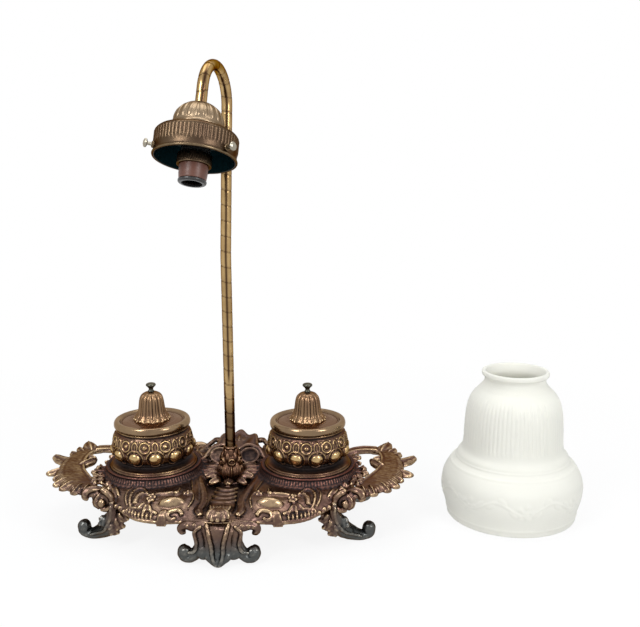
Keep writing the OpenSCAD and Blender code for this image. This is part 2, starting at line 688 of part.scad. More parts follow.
module well_left() { translate([-well_x, 0, 0]) well(); }
module well_right() { translate([well_x, 0, 0]) well(); }
module ink_liner_left() { translate([-well_x, 0, 0]) ink_liner(); }
module ink_liner_right() { translate([well_x, 0, 0]) ink_liner(); }
module hinge_pin_left() { translate([-well_x, 0, 0]) hinge_pin(); }
module hinge_pin_right() { translate([well_x, 0, 0]) hinge_pin(); }

module well_screws() {
    color("#8c8578")
        both_sides()
            translate([well_x, 0, plate_under_z])
                screw(well_screw_r, seat_floor_z - plate_under_z + 6);
}

// ---------------------------------------------------------------- lids
module lid() {
    rim_in = well_bore_r + 1;
    color("#a88444")
    difference() {
        union() {
            rotate_extrude()
                polygon([
                    [0, plate_z - lid_plate_t], [rim_in - 1.6, plate_z - lid_plate_t],
                    [rim_in, lid_z + 1.6], [rim_in, lid_z], [lid_r - 1.6, lid_z],
                    [lid_r - 0.5, lid_z + 0.7], [lid_r, lid_z + 2], [lid_r, lid_z + lid_t * 0.55],
                    [lid_r - 0.4, lid_z + lid_t * 0.8], [lid_r - 1.3, lid_z + lid_t - 0.2],
                    [lid_r - 2.4, lid_z + lid_t], [lid_r - 3.6, lid_z + lid_t - 0.4],
                    [lid_r - 4.6, plate_z - 0.5],
                    [lid_r - 8.6, plate_z - 0.3], [lid_r - 9.2, plate_z + 0.5], [lid_r - 10.2, plate_z + 0.6],
                    [lid_r - 11, plate_z], [0, plate_z]
                ]);
            translate([-knuckle_l / 2, 0, 0]) rotate([90, 0, 90]) linear_extrude(knuckle_l) {
                translate([hinge_y, hinge_z]) circle(r = knuckle_r);
                translate([rim_in + 0.5, hinge_z - 0.4]) square([hinge_y - rim_in - 0.5, knuckle_r + 0.4]);
            }
        }
        translate([-knuckle_l, hinge_y, hinge_z]) rotate([0, 90, 0])
            cylinder(r = hinge_pin_r + pin_gap, h = 2 * knuckle_l);
        translate([0, 0, plate_z - lid_plate_t - 1])
            cylinder(r = knob_screw_r + screw_gap, h = lid_plate_t + 2);
    }
}

// Fluted bell on the lid: its outer side as [radius as a share of the foot's, share of the height]
bell_side = [[1, 0], [0.98, 0.05], [0.85, 0.14], [0.76, 0.3], [0.7, 0.52], [0.63, 0.71],
    [0.5, 0.87], [0.31, 0.97]];
module bell() {
    outer = [for (p = bell_side) [p[0] * bell_r, plate_z + p[1] * bell_h]];
    inner = [for (i = [len(bell_side) - 1 : -1 : 0])
        [bell_side[i][0] * bell_r - bell_wall, plate_z + bell_side[i][1] * bell_h * 0.93]];
    hole = knob_screw_r + screw_gap;
    color("#8f5f35")
    difference() {
        rotate_extrude()
            polygon(concat(outer, [[hole, bell_top_z], [hole, bell_top_z - bell_wall]], inner));
        for (i = [0 : flute_n - 1])
            rotate([0, 0, 360 * i / flute_n])
                round_bar([0.85 * bell_r + 0.7, 0, plate_z + 0.19 * bell_h],
                    [0.6 * bell_r + 0.7, 0, plate_z + 0.82 * bell_h], 1.25);
    }
}

module knob() {
    z = bell_top_z;
    color("#7d7f72")
        rotate_extrude()
            polygon([
                [0, lid_z + 0.8], [knob_screw_r, lid_z + 0.8], [knob_screw_r, z], [knob_r * 0.62, z],
                [knob_r * 0.66, z + 0.6], [knob_r * 0.46, z + 1.4], [knob_r * 0.44, z + knob_h * 0.36],
                [knob_r * 0.75, z + knob_h * 0.56], [knob_r * 0.98, z + knob_h * 0.68],
                [knob_r, z + knob_h * 0.8], [knob_r * 0.8, z + knob_h * 0.93], [0, z + knob_h]
            ]);
}

module lid_nut() {
    color("#8c8578")
        translate([0, 0, plate_z - lid_plate_t - 2])
            difference() {
                cylinder(r = 2 * knob_screw_r, h = 2, $fn = 6);
                translate([0, 0, -1]) cylinder(r = knob_screw_r + screw_gap, h = 4);
            }
}

module lid_left() { translate([-well_x, 0, 0]) lid(); }
module lid_right() { translate([well_x, 0, 0]) lid(); }
module bell_left() { translate([-well_x, 0, 0]) bell(); }
module bell_right() { translate([well_x, 0, 0]) bell(); }
module knob_left() { translate([-well_x, 0, 0]) knob(); }
module knob_right() { translate([well_x, 0, 0]) knob(); }
module lid_nut_left() { translate([-well_x, 0, 0]) lid_nut(); }
module lid_nut_right() { translate([well_x, 0, 0]) lid_nut(); }

// ---------------------------------------------------------------- lamp tube
washer_t = 1;
nut_h = 4;
tube_end_z = valley_under_z - washer_t - nut_h - 3;
tube_in = tube_r - tube_wall;
// The arm's middle line in its own plane, as [distance behind the stem, height]
lean_start = [0, stem_z];
lean_end = lean_start + lean_r * [1 - cos(lean_deg), sin(lean_deg)];
arch_start = lean_end + lean_l * [sin(lean_deg), cos(lean_deg)];
arch_centre = arch_start + arch_r * [-cos(lean_deg), sin(lean_deg)];
arch_end = arch_centre + arch_r * [-cos(head_tilt), sin(head_tilt)];
canopy_top = arch_end + drop_l * [-sin(head_tilt), -cos(head_tilt)];
head_h = gallery_h + canopy_h;
opening = canopy_top + head_h * [-sin(head_tilt), -cos(head_tilt)];
tube_into_head = canopy_h + 4;

// Bend of the arm in its plane, from an angle measured up from the rear
module bend(centre, bend_r, from, sweep, r) {
    translate([0, centre[0], centre[1]])
        rotate([90, 0, 90])
            rotate([0, 0, from])
                rotate_extrude(angle = sweep, $fn = 128) translate([bend_r, 0]) circle(r = r);
}

// Hair-thin band over each joint of the run, which makes its straights and bends one solid
band_l = 0.6;
band_rise = 0.03;
module joint_band(spot, turn, r) {
    translate([0, spot[0], spot[1]])
        rotate([turn, 0, 0]) translate([0, 0, -band_l / 2]) cylinder(r = r + band_rise, h = band_l);
}

// The whole run of the arm at one radius, its two ends lengthened by extra
module arm_run(r, extra) {
    translate([0, 0, tube_end_z - extra]) cylinder(r = r, h = stem_z - tube_end_z + extra);
    joint_band(lean_start, 0, r);
    bend(lean_start + [lean_r, 0], lean_r, 180 - lean_deg, lean_deg, r);
    joint_band(lean_end, -lean_deg, r);
    translate([0, lean_end[0], lean_end[1]])
        rotate([-lean_deg, 0, 0]) cylinder(r = r, h = lean_l);
    joint_band(arch_start, -lean_deg, r);
    bend(arch_centre, arch_r, -lean_deg, 180 - head_tilt + lean_deg, r);
    joint_band(arch_end, 180 - head_tilt, r);
    translate([0, arch_end[0], arch_end[1]])
        rotate([180 - head_tilt, 0, 0]) cylinder(r = r, h = drop_l + tube_into_head + extra);
}

module gooseneck() {
    color("#b08a48")
    rotate([0, 0, -arm_turn])
        difference() {
            arm_run(tube_r, 0);
            arm_run(tube_in, 1);
        }
}

module stem_cup() {
    bore = tube_r + tube_gap;
    z = stem_foot_z;
    color("#8a4a2a")
    difference() {
        rotate_extrude()
            polygon([
                [bore, z], [cup_r * 0.86, z], [cup_r * 0.9, z + cup_h * 0.05], [cup_r, z + cup_h * 0.16],
                [cup_r * 0.98, z + cup_h * 0.26], [cup_r * 0.84, z + cup_h * 0.38],
                [cup_r * 0.6, z + cup_h * 0.47],
                [cup_r * 0.56, z + cup_h * 0.55], [cup_r * 0.66, z + cup_h * 0.68],
                [cup_r * 0.76, z + cup_h * 0.84],
                [cup_r * 0.8, z + cup_h * 0.95], [cup_r * 0.72, z + cup_h], [bore, z + cup_h]
            ]);
        for (i = [0 : 11])
            rotate([0, 0, 30 * i])
                translate([cup_r + 0.6, 0, z - 1]) cylinder(r = 1.1, h = cup_h * 0.55, $fn = 24);
    }
}

module stem_washer() {
    color("#8c8578")
        translate([0, 0, valley_under_z - washer_t])
            difference() {
                cylinder(r = tube_r + 5, h = washer_t);
                translate([0, 0, -1]) cylinder(r = tube_r + tube_gap, h = washer_t + 2);
            }
}

module stem_nut() {
    color("#8c8578")
        translate([0, 0, valley_under_z - washer_t - nut_h])
            difference() {
                cylinder(r = tube_r + 3.4, h = nut_h, $fn = 6);
                translate([0, 0, -1]) cylinder(r = tube_r + tube_gap, h = nut_h + 2);
            }
}

// ---------------------------------------------------------------- lamp head
// Everything below is drawn with the opening's centre at the origin and the canopy above it
module on_head() {
    rotate([0, 0, -arm_turn])
        translate([0, opening[0], opening[1]])
            rotate([-head_tilt, 0, 0]) children();
}

gallery_out = gallery_r + gallery_wall;
tube_hole = tube_r + tube_gap;
thumb_turns = [["left", -143], ["right", -23], ["rear", 97]];
boss_out = gallery_out + 1.6;
band_top = band_z + band_h;

module thumb_hole(turn) {
    rotate([0, 0, turn])
        translate([gallery_r - 2, 0, thumb_z]) rotate([0, 90, 0])
            cylinder(r = thumb_r + screw_gap, h = 8, $fn = 32);
}

module gallery() {
    plate_in = gallery_h - 1;
    color("#7e6238")
    on_head()
    difference() {
        union() {
            rotate_extrude()
                polygon([
                    [gallery_r, 0], [gallery_out + 0.7, 0], [gallery_out + 1, 0.9], [gallery_out + 0.6, 1.8],
                    [gallery_out, 2.2], [gallery_out, band_z], [gallery_r, band_z]
                ]);
            translate([0, 0, band_z])
                linear_extrude(band_h)
                    difference() {
                        polygon([for (i = [0 : 4 * gallery_flute_n - 1])
                            let (a = 90 * i / gallery_flute_n)
                            let (r = gallery_out + [0.1, 0.75, 0.95, 0.75][i % 4])
                            [r * cos(a), r * sin(a)]]);
                        circle(r = gallery_r);
                    }
            rotate_extrude()
                polygon([
                    [gallery_r, band_top], [gallery_out, band_top], [gallery_out, band_top + 1.4],
                    [gallery_out - 1.4, band_top + 3.4], [gallery_out - 4.4, band_top + 5],
                    [canopy_r + 3, gallery_h - 1], [canopy_r + 0.8, gallery_h], [tube_hole, gallery_h],
                    [tube_hole, plate_in], [canopy_r + 0.6, plate_in], [canopy_r + 2.6, gallery_h - 2.1],
                    [gallery_out - 4.8, band_top + 4], [gallery_r - 1.2, band_top + 2.7],
                    [gallery_r, band_top + 1]
                ]);
            for (t = thumb_turns)
                rotate([0, 0, t[1]])
                    translate([gallery_r + 0.3, 0, thumb_z]) rotate([0, 90, 0])
                        cylinder(r = 2.3, h = boss_out - gallery_r - 0.3, $fn = 32);
        }
        for (t = thumb_turns) thumb_hole(t[1]);
    }
}

module canopy() {
    arc = [for (a = [0 : 12 : 72])
        [mix(tube_hole, canopy_r, cos(a)), gallery_h + 2.4 + (canopy_h - 2.4) * sin(a)]];
    arc_in = [for (a = [72 : -12 : 0])
        [mix(tube_hole, canopy_r - 1.3, cos(a)) , gallery_h + 2 + (canopy_h - 3.6) * sin(a)]];
    color("#857044")
    on_head()
    difference() {
        rotate_extrude()
            polygon(concat(
                [[canopy_r + 0.3, gallery_h], [canopy_r + 0.8, gallery_h + 1],
                [canopy_r + 0.3, gallery_h + 2]],
                arc,
                [[tube_hole, gallery_h + canopy_h], [tube_hole, gallery_h + canopy_h - 1.6]],
                arc_in,
                [[canopy_r - 1.3, gallery_h]]
            ));
    }
}

// How far the lampholder reaches in and out of the gallery
sleeve_top = 1.5;
end_ring_h = 2.5;
module lampholder_cap() {
    top = gallery_h - 1;
    color("#16181a")
    on_head()
        rotate_extrude()
            polygon([
                [holder_r - 1.6, sleeve_top], [holder_r, sleeve_top], [holder_r, top - 6],
                [holder_r - 1, top - 4],
                [holder_r - 2.5, top], [tube_hole, top], [tube_hole, top - 2.4], [holder_r - 3.6, top - 2.4],
                [holder_r - 1.6, top - 7]
            ]);
}

module lampholder_nut() {
    bore = holder_r + 0.1;
    color("#9a7a3e")
    on_head()
    difference() {
        translate([0, 0, sleeve_top - 6]) cylinder(r = bore + 1.8, h = 8);
        translate([0, 0, sleeve_top - 7]) cylinder(r = bore, h = 10);
        for (i = [0 : 11])
            rotate([0, 0, 30 * i])
                translate([bore + 1.5, -1, sleeve_top]) cube([2, 2, 3]);
    }
}

module lampholder_sleeve() {
    color("#6e3320")
    on_head()
        translate([0, 0, end_ring_h - holder_out])
            difference() {
                cylinder(r = holder_r - 0.2, h = holder_out - end_ring_h + sleeve_top);
                translate([0, 0, -1]) cylinder(r = socket_r + 1.3, h = holder_out + sleeve_top);
            }
}

module lampholder_ring() {
    color("#141414")
    on_head()
        translate([0, 0, -holder_out])
            rotate_extrude()
                polygon([
                    [socket_r + 0.6, 0], [holder_r - 1, 0], [holder_r - 0.2, 0.8],
                    [holder_r - 0.2, end_ring_h], [socket_r + 0.6, end_ring_h]
                ]);
}

module socket_shell() {
    color("#b8934a")
    on_head()
        translate([0, 0, end_ring_h - holder_out])
            difference() {
                cylinder(r = socket_r + 1.2, h = sleeve_top + holder_out - end_ring_h);
                translate([0, 0, -1]) cylinder(r = socket_r, h = sleeve_top + holder_out + 2);
            }
}

// Room round the socket's base in the insulating block
block_gap = 0.5;

module contact_block() {
    base_z = sleeve_top + 2.5;
    color("#d8d0bc")
    on_head()
        rotate_extrude()
            polygon([
                [0, base_z - 1.3], [2, base_z - 1.3], [2, base_z], [socket_r + block_gap, base_z],
                [socket_r + block_gap, sleeve_top], [socket_r + 1.2, sleeve_top],
                [socket_r + 1.2, base_z + 3],
                [0, base_z + 3]
            ]);
}

// Thumbscrew along +X of its own turn: tip inside the gallery, mushroom head outside
thumb_tip = gallery_r - 1.7;
thumb_head = boss_out + 3.4;
module thumbscrew(turn) {
    color("#9a8a62")
    on_head()
    rotate([0, 0, turn])
        translate([0, 0, thumb_z]) rotate([0, 90, 0])
            rotate_extrude()
                polygon([
                    [0, thumb_tip], [thumb_r * 0.6, thumb_tip], [thumb_r, thumb_tip + 0.6],
                    [thumb_r, thumb_head],
                    [thumb_head_r * 0.7, thumb_head], [thumb_head_r, thumb_head + 0.7],
                    [thumb_head_r, thumb_head + 1.6], [thumb_head_r * 0.7, thumb_head + 2.4],
                    [0, thumb_head + 2.7]
                ]);
}

module thumbscrew_left() { thumbscrew(thumb_turns[0][1]); }
module thumbscrew_right() { thumbscrew(thumb_turns[1][1]); }
module thumbscrew_rear() { thumbscrew(thumb_turns[2][1]); }

// ---------------------------------------------------------------- shade
// Outer side of the glass from the skirt up to the neck, as [radius, share of the height]
skirt_r = shade_r - 5;
neck_r = lip_r - 2.5;
lip_h = 3.6;
shade_side = [
    [skirt_r, 0], [skirt_r + 1.6, 0.07], [shade_r - 0.8, 0.15], [shade_r, 0.21], [shade_r - 1, 0.28],
    [shade_r - 5, 0.345], [shade_body_r + 9.5, 0.375], [shade_body_r + 6.5, 0.4], [shade_body_r + 5, 0.43],
    [shade_body_r + 1.8, 0.465], [shade_body_r + 0.4, 0.52], [shade_body_r, 0.6], [shade_body_r - 0.9, 0.7],
    [shade_body_r - 2.8, 0.78], [shade_body_r - 6.4, 0.84], [neck_r + 4, 0.885], [neck_r + 1, 0.915],
    [neck_r, 0.94], [neck_r + 0.6, 0.962]
];
module shade() {
    steps = 2 * (len(shade_side) - 1);
    outer = [for (i = [0 : steps])
        let (p = curve(shade_side, i / 2)) [p[0], p[1] * shade_h]];
    inner = [for (i = [0 : steps]) let (j = steps - i, a = at(outer, j - 1), b = at(outer, j + 1))
        let (d = unit(b - a)) outer[j] + shade_wall * [-d[1], d[0]]];
    lip = [
        [lip_r, shade_h - lip_h], [lip_r, shade_h - 0.6], [lip_r - 0.7, shade_h],
        [lip_r - shade_wall, shade_h], [lip_r - shade_wall - 0.6, shade_h - 0.6]
    ];
    skirt = [[skirt_r - shade_wall, 0]];
    color("#f2f0ea")
        translate([shade_x, shade_y, 0])
            rotate_extrude()
                polygon(concat(outer, lip, [for (i = [0 : steps - 1]) inner[i]], skirt));
}

tray();
front_foot();
rear_foot();
leg_front_left();
leg_front_right();
leg_rear_left();
leg_rear_right();
foot_screws();
well_left();
well_right();
ink_liner_left();
ink_liner_right();
well_screws();
hinge_pin_left();
hinge_pin_right();
lid_left();
lid_right();
bell_left();
bell_right();
knob_left();
knob_right();
lid_nut_left();
lid_nut_right();
stem_cup();
gooseneck();
stem_washer();
stem_nut();
canopy();
gallery();
lampholder_cap();
lampholder_nut();
lampholder_sleeve();
lampholder_ring();
socket_shell();
contact_block();
thumbscrew_left();
thumbscrew_right();
thumbscrew_rear();
shade();
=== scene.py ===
"""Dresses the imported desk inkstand: cast rococo tray, feet and legs, two inkwells with hinged lids, the
gooseneck lamp and its loose frosted shade. Lengths are millimetres until they become meshes."""

import math

import bmesh
import bpy
import numpy as np
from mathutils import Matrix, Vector


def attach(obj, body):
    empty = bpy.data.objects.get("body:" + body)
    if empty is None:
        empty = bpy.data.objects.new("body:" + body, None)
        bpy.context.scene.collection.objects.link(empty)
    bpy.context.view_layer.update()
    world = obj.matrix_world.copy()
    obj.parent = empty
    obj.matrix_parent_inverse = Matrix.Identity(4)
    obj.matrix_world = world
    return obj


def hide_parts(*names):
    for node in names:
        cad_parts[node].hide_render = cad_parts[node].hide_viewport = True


MM = 0.001
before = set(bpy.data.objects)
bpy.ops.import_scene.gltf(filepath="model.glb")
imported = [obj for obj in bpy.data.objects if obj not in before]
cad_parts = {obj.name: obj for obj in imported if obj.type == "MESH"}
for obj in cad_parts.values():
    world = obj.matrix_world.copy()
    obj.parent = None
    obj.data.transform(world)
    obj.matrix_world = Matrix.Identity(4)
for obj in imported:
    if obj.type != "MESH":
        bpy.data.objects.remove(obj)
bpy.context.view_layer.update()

# ---------------------------------------------------------------- sizes shared with the solids
WELL_X = 64.0
SIDE_X = {"left": -WELL_X, "right": WELL_X}
TRAY_TOP = 43.5
TRAY_WALL = 3.0
SEAT_R = 38.0
SEAT_FLOOR = 49.5
VALLEY_D = 8.0
VALLEY_W = 24.0
VALLEY_Z = TRAY_TOP - VALLEY_D
STEM_FOOT_Z = VALLEY_Z + 1
KNEE_Y = 82.0
APRON_Y = 73.0
KNEE_Z = 34.0
APRON_Z = 30.0
LEG_Y = 37.0
WING_Z = 45.5
TIP_X = 155.0
WELL_FOOT_R, WELL_H = 35.4, 32.0
RIM_Z = SEAT_FLOOR + WELL_H
BELLY_Z = SEAT_FLOOR + WELL_H * 0.53
BOWL_R, WAIST_R, RIM_R = 33.6, 28.6, 29.6
BORE_R, BORE_H = 26.6, 21.7
LID_R, LID_T, LID_Z, PLATE_Z = 31.0, 6.4, 81.8, 87.4
HINGE_Y, HINGE_Z, KNUCKLE_R = 34.2, 82.58, 2.6
BELL_TOP = 110.6
TUBE_R = 4.25
STEM_Z = 218.0
LEAN_R, LEAN_L, ARCH_R, DROP_L = 90.0, 112.0, 26.0, 14.0
ARM_TURN, TILT, LEAN = np.radians([12.5, 21, 5.4])
GALLERY_H, CANOPY_H = 26.0, 16.0
GALLERY_TOP = 22.4
THUMB_TURNS = {"left": -143, "right": -23, "rear": 97}
THUMB_Z = 4.8
SHADE = np.array([236.0, 19.0, 0.0])
SHADE_H = 124.0


# ---------------------------------------------------------------- curves and solids in numpy
def curve(stops, n, closed=False):
    """n points on the smooth curve through the stops."""
    s = np.asarray(stops, float)
    m = len(s)
    t = np.linspace(0, m if closed else m - 1, n, endpoint=not closed)
    i = np.floor(t).astype(int)
    if not closed:
        i = np.minimum(i, m - 2)
    u = (t - i)[:, None]

    def pick(k):
        return s[k % m] if closed else s[np.clip(k, 0, m - 1)]

    a, b, c, d = pick(i - 1), pick(i), pick(i + 1), pick(i + 2)
    return 0.5 * (2 * b + (c - a) * u + (2 * a - 5 * b + 4 * c - d) * u**2 + (3 * b - a - 3 * c + d) * u**3)


def unit(v):
    return v / np.maximum(np.linalg.norm(v, axis=-1, keepdims=True), 1e-9)


def walked(q):
    """Distance along a line of points, at each of them."""
    return np.concatenate([[0], np.cumsum(np.linalg.norm(np.diff(q, axis=0), axis=1))])


def bumpy(value, centre, width, power=2.0):
    """A smooth bump of height 1 at the centre."""
    return np.exp(-(np.abs((value - centre) / width) ** power))


def ramped(value, start, width):
    """0 up to the start, 1 from a width beyond it."""
    return np.clip((value - start) / width, 0, 1)


def dome(squares):
    """Height of a round swelling over the sum of the squared distances from its middle."""
    return np.sqrt(np.clip(1 - squares, 0, 1))


def turned(v, angle):
    """Points turned about the upright axis."""
    c, s = math.cos(angle), math.sin(angle)
    return np.column_stack([v[:, 0] * c - v[:, 1] * s, v[:, 0] * s + v[:, 1] * c, v[:, 2]])


def rounded(q, times=2):
    """Profile with its corners softened by corner cutting, its ends kept."""
    q = np.asarray(q, float)
    for _ in range(times):
        a, b = q[:-1], q[1:]
        mid = np.empty((2 * len(a), 2))
        mid[0::2] = a * 0.75 + b * 0.25
        mid[1::2] = a * 0.25 + b * 0.75
        q = np.vstack([q[:1], mid, q[-1:]])
    return q


def grid(p, loop=False, cap=False):
    """Vertices and quads of rows of points that each close; loop joins last row to first, cap fills both."""
    nu, nv = p.shape[:2]
    v = p.reshape(-1, 3)
    a, b = np.meshgrid(np.arange(nu if loop else nu - 1), np.arange(nv), indexing="ij")
    c, d = (a + 1) % nu, (b + 1) % nv
    f = np.stack([a * nv + b, a * nv + d, c * nv + d, c * nv + b], axis=-1).reshape(-1, 4)
    if cap:
        v = np.vstack([v, p[0].mean(0), p[-1].mean(0)])
        k = np.arange(nv)
        j = (k + 1) % nv
        base = (nu - 1) * nv
        first = np.stack([np.full(nv, nu * nv), j, k, k], axis=-1)
        last = np.stack([np.full(nv, nu * nv + 1), base + k, base + j, base + j], axis=-1)
        f = np.vstack([f, first, last])
    return v, f


def joined(solids):
    starts = np.cumsum([0] + [len(v) for v, f in solids])
    return np.vstack([v for v, f in solids]), np.vstack([f + n for (v, f), n in zip(solids, starts)])


def moved(solids, by):
    return [(v + by, f) for v, f in solids]


def mirrored(solids, x=1, y=1):
    return [(v * [x, y, 1], f[:, ::-1] if x * y < 0 else f) for v, f in solids]


def everyway(solids, x=True, y=True):
    """The solids and their mirror images across the tray's middle planes."""
    if x:
        solids = solids + mirrored(solids, x=-1)
    if y:
        solids = solids + mirrored(solids, y=-1)
    return solids


def sweep(stops, rings=28, sides=16, wide=None, shape=None):
    """Oval section swept along stops [x, y, z, half width, half thickness], closed at both ends."""
    s = curve(stops, rings)
    t = unit(np.gradient(s[:, :3], axis=0))
    over = unit(np.cross(t, np.cross([0.0, 0.0, 1.0], t) if wide is None else wide))
    side = np.cross(over, t)
    a = (np.arange(sides) + 0.5) * 2 * np.pi / sides
    x, y = (np.broadcast_to(q, (rings, sides)) for q in (np.cos(a), np.sin(a)))
    if shape:
        x, y = shape(a, x, y)
    size = s[:, 3:5].copy()
    size[[0, -1]] *= 0.55
    size[[1, -2]] *= 0.86
    w, h = size.T[..., None, None]
    ring = side[:, None] * (w * x[..., None]) + over[:, None] * (h * y[..., None])
    return grid(s[:, None, :3] + ring, cap=True)


def dished(a, x, y):
    """Section of a scroll band: a hollow between two raised lips."""
    return x, y * (1 - 0.16 * np.clip(np.sin(a), 0, 1) * bumpy(x, -0.15, 0.5))


def ribbed(depth):
    """Section with a rib along its middle."""
    return lambda a, x, y: (x, y * (1 + depth * np.clip(np.sin(a), 0, 1) * np.cos(x * np.pi)))


def veined(a, x, y):
    """Section of a leaf: a middle rib, two hollows beside it and a falling edge."""
    rib = 0.35 * bumpy(x, 0, 0.16) - 0.45 * bumpy(np.abs(x), 0.42, 0.2)
    return x, y * (1 + np.clip(np.sin(a), 0, 1) * rib) - 0.35 * np.abs(x) ** 2


def tube_along(pts, w, sides=12):
    """Round section of half width w along dense points, thinner at both ends."""
    d = unit(np.gradient(pts, axis=0))
    side = np.cross(d, [0.0, 0.0, 1.0])
    flat = np.linalg.norm(side, axis=1) < 0.2
    side[flat] = np.cross(d[flat], [0.0, 1.0, 0.0])
    side = unit(side)
    over = np.cross(side, d)
    a = np.arange(sides) * 2 * np.pi / sides
    w = w.copy()
    w[[0, -1]] *= 0.5
    w = w[:, None, None]
    ring = side[:, None] * w * np.cos(a)[:, None] + over[:, None] * w * np.sin(a)[:, None]
    return grid(pts[:, None] + ring, cap=True)


def cord_line(stops, w, rings=30, sides=12):
    """Round line of half width w (a number, or one for each stop) through stops [x, y, z]."""
    s = curve(np.column_stack([stops, np.broadcast_to(w, len(stops))]), rings)
    return tube_along(s[:, :3], s[:, 3], sides)


def ball(centre, radii, spin=0.0, n=14):
    """Ellipsoid, turned by spin degrees about its upright axis."""
    radii = np.broadcast_to(np.asarray(radii, float), 3)
    a = np.radians(np.linspace(-90, 90, n + 1))[1:-1, None]
    b = np.arange(2 * n) * np.pi / n
    p = np.stack([np.cos(a) * np.cos(b), np.cos(a) * np.sin(b), np.sin(a) + 0 * b], axis=-1)
    v, f = grid(p, cap=True)
    v[-2:] = [[0, 0, -1], [0, 0, 1]]
    return turned(v * radii, math.radians(spin)) + centre, f


def revolve(profile, n=96, centre=(0, 0, 0)):
    """Closed solid from a profile of [r, z] that starts and ends on the axis or makes a loop."""
    r, z = np.asarray(profile, float).T[..., None]
    b = np.arange(n) * 2 * np.pi / n
    v, f = grid(np.stack([r * np.cos(b), r * np.sin(b), z + 0 * b], axis=-1), loop=r[0] >= 1e-6)
    return v + centre, f


def leaf(root, tip, w, t, rise=0.0, curl=0.0, sides=18, rings=14):
    """A rounded leaf from root to tip [x, y, z]; it rises in the middle and curls up at its end."""
    root, d = np.asarray(root, float), np.subtract(tip, root)
    form = ((0, 0, 0.6, 1), (0.35, rise, 1, 1), (0.68, rise * 0.8, 0.88, 0.9),
            (0.9, rise * 0.3 + curl * 0.5, 0.62, 0.8), (1, curl, 0.36, 0.7))
    stops = [[*(root + d * share + [0, 0, up]), w * wide, t * thick] for share, up, wide, thick in form]
    return sweep(stops, rings, sides, shape=veined)


def acanthus(root, tip, w, t, rise, up=(0, 0, 1)):
    """A leaf with two rounded lobes down each edge, their ends turned up."""
    root, d, up = np.asarray(root, float), np.subtract(tip, root), np.asarray(up, float)
    n = unit(np.cross(up, d))
    out = [leaf(root, tip, w * 0.62, t, rise, 1.2)]
    for share in (0.5 / 2.4, 1.5 / 2.4):
        wide = 0.15 * np.linalg.norm(d) * (1.15 - 0.3 * share)
        for s in (-1, 1):
            a = root + d * (share - 0.08) + up * rise * 0.6
            b = root + d * (share + 0.25) + n * s * w * (1.02 - 0.35 * share) + up * 0.6
            m = (a + b) / 2 + up * rise * 0.5 + n * s * w * 0.12
            stops = [[*a, wide * 0.8, t * 0.8], [*m, wide, t * 0.9], [*b, wide * 0.62, t * 0.8]]
            out.append(sweep(stops, 9, 10, shape=veined))
    return out


def volute(path, w0, w1, turns, r, rise, t):
    """A band that follows path [x, y, z] and ends in a flat volute of radius r in the level plane."""
    path = np.asarray(path, float)
    end = path[-1]
    d = unit((end - path[-2])[:2])
    side = np.array([-d[1], d[0]])
    k = np.linspace(0, turns * 2 * np.pi, 12)[1:, None]
    spin = (end[:2] + side * r) + r * (1 - 0.8 * k / k[-1]) * (d * np.sin(k) - side * np.cos(k))
    pts = np.vstack([path, np.column_stack([spin, end[2] + rise * k / k[-1]])])
    return sweep(np.column_stack([pts, np.linspace(w0, w1, len(pts)), np.full(len(pts), t)]), 44, 12)


# ---------------------------------------------------------------- meshes
def mesh_object(name, solid, smooth=True):
    v, f = solid
    mesh = bpy.data.meshes.new(name)
    faces = [tuple(dict.fromkeys(q)) for q in f.tolist()]
    mesh.from_pydata((v * MM).tolist(), [], [q for q in faces if len(q) > 2])
    mesh.validate()
    obj = bpy.data.objects.new(name, mesh)
    bpy.context.scene.collection.objects.link(obj)
    if smooth:
        mesh.shade_smooth()
    return obj


def rows_of(items, key, width=3, kind=float):
    """One property of all vertices or edges, as an array with a row for each."""
    out = np.zeros(len(items) * width, kind)
    items.foreach_get(key, out)
    return out.reshape(-1, width)


def positions(mesh):
    return rows_of(mesh.vertices, "co") / MM


def set_positions(mesh, co):
    mesh.vertices.foreach_set("co", (co * MM).ravel())
    mesh.update()


def smoother(mesh):
    """A function that averages values at the vertices with their neighbours' values."""
    a, b = rows_of(mesh.edges, "vertices", 2, int).T
    n = len(mesh.vertices)
    count = np.maximum(np.bincount(np.concatenate([a, b]), minlength=n), 1)

    def once(x, share=0.5):
        if x.ndim == 1:
            s = np.bincount(a, x[b], n) + np.bincount(b, x[a], n)
            return x + share * (s / count - x)
        return np.stack([once(x[:, k], share) for k in range(x.shape[1])], axis=1)

    return once


def tint(obj, **values):
    """Stores a value from -1 to 1 at each vertex, for patina() or metal()."""
    for key, value in values.items():
        layer = obj.data.attributes.new(key, "FLOAT", "POINT")
        layer.data.foreach_set("value", np.clip(np.ravel(value), -1, 1).astype(np.float32))
    return obj


def tell_relief(obj):
    """Stores how far each point stands out of its surroundings, as 0 in hollows and 1 on ridges."""
    mesh = obj.data
    co, n, once = positions(mesh), rows_of(mesh.vertices, "normal"), smoother(mesh)
    p = co
    for key, passes, full in (("fine", 3, 0.12), ("broad", 11, 0.6)):
        for _ in range(passes):
            p = once(p)
        tint(obj, **{key: once(0.5 + 0.5 * np.tanh(np.einsum("ij,ij->i", co - p, n) / full))})
    return obj


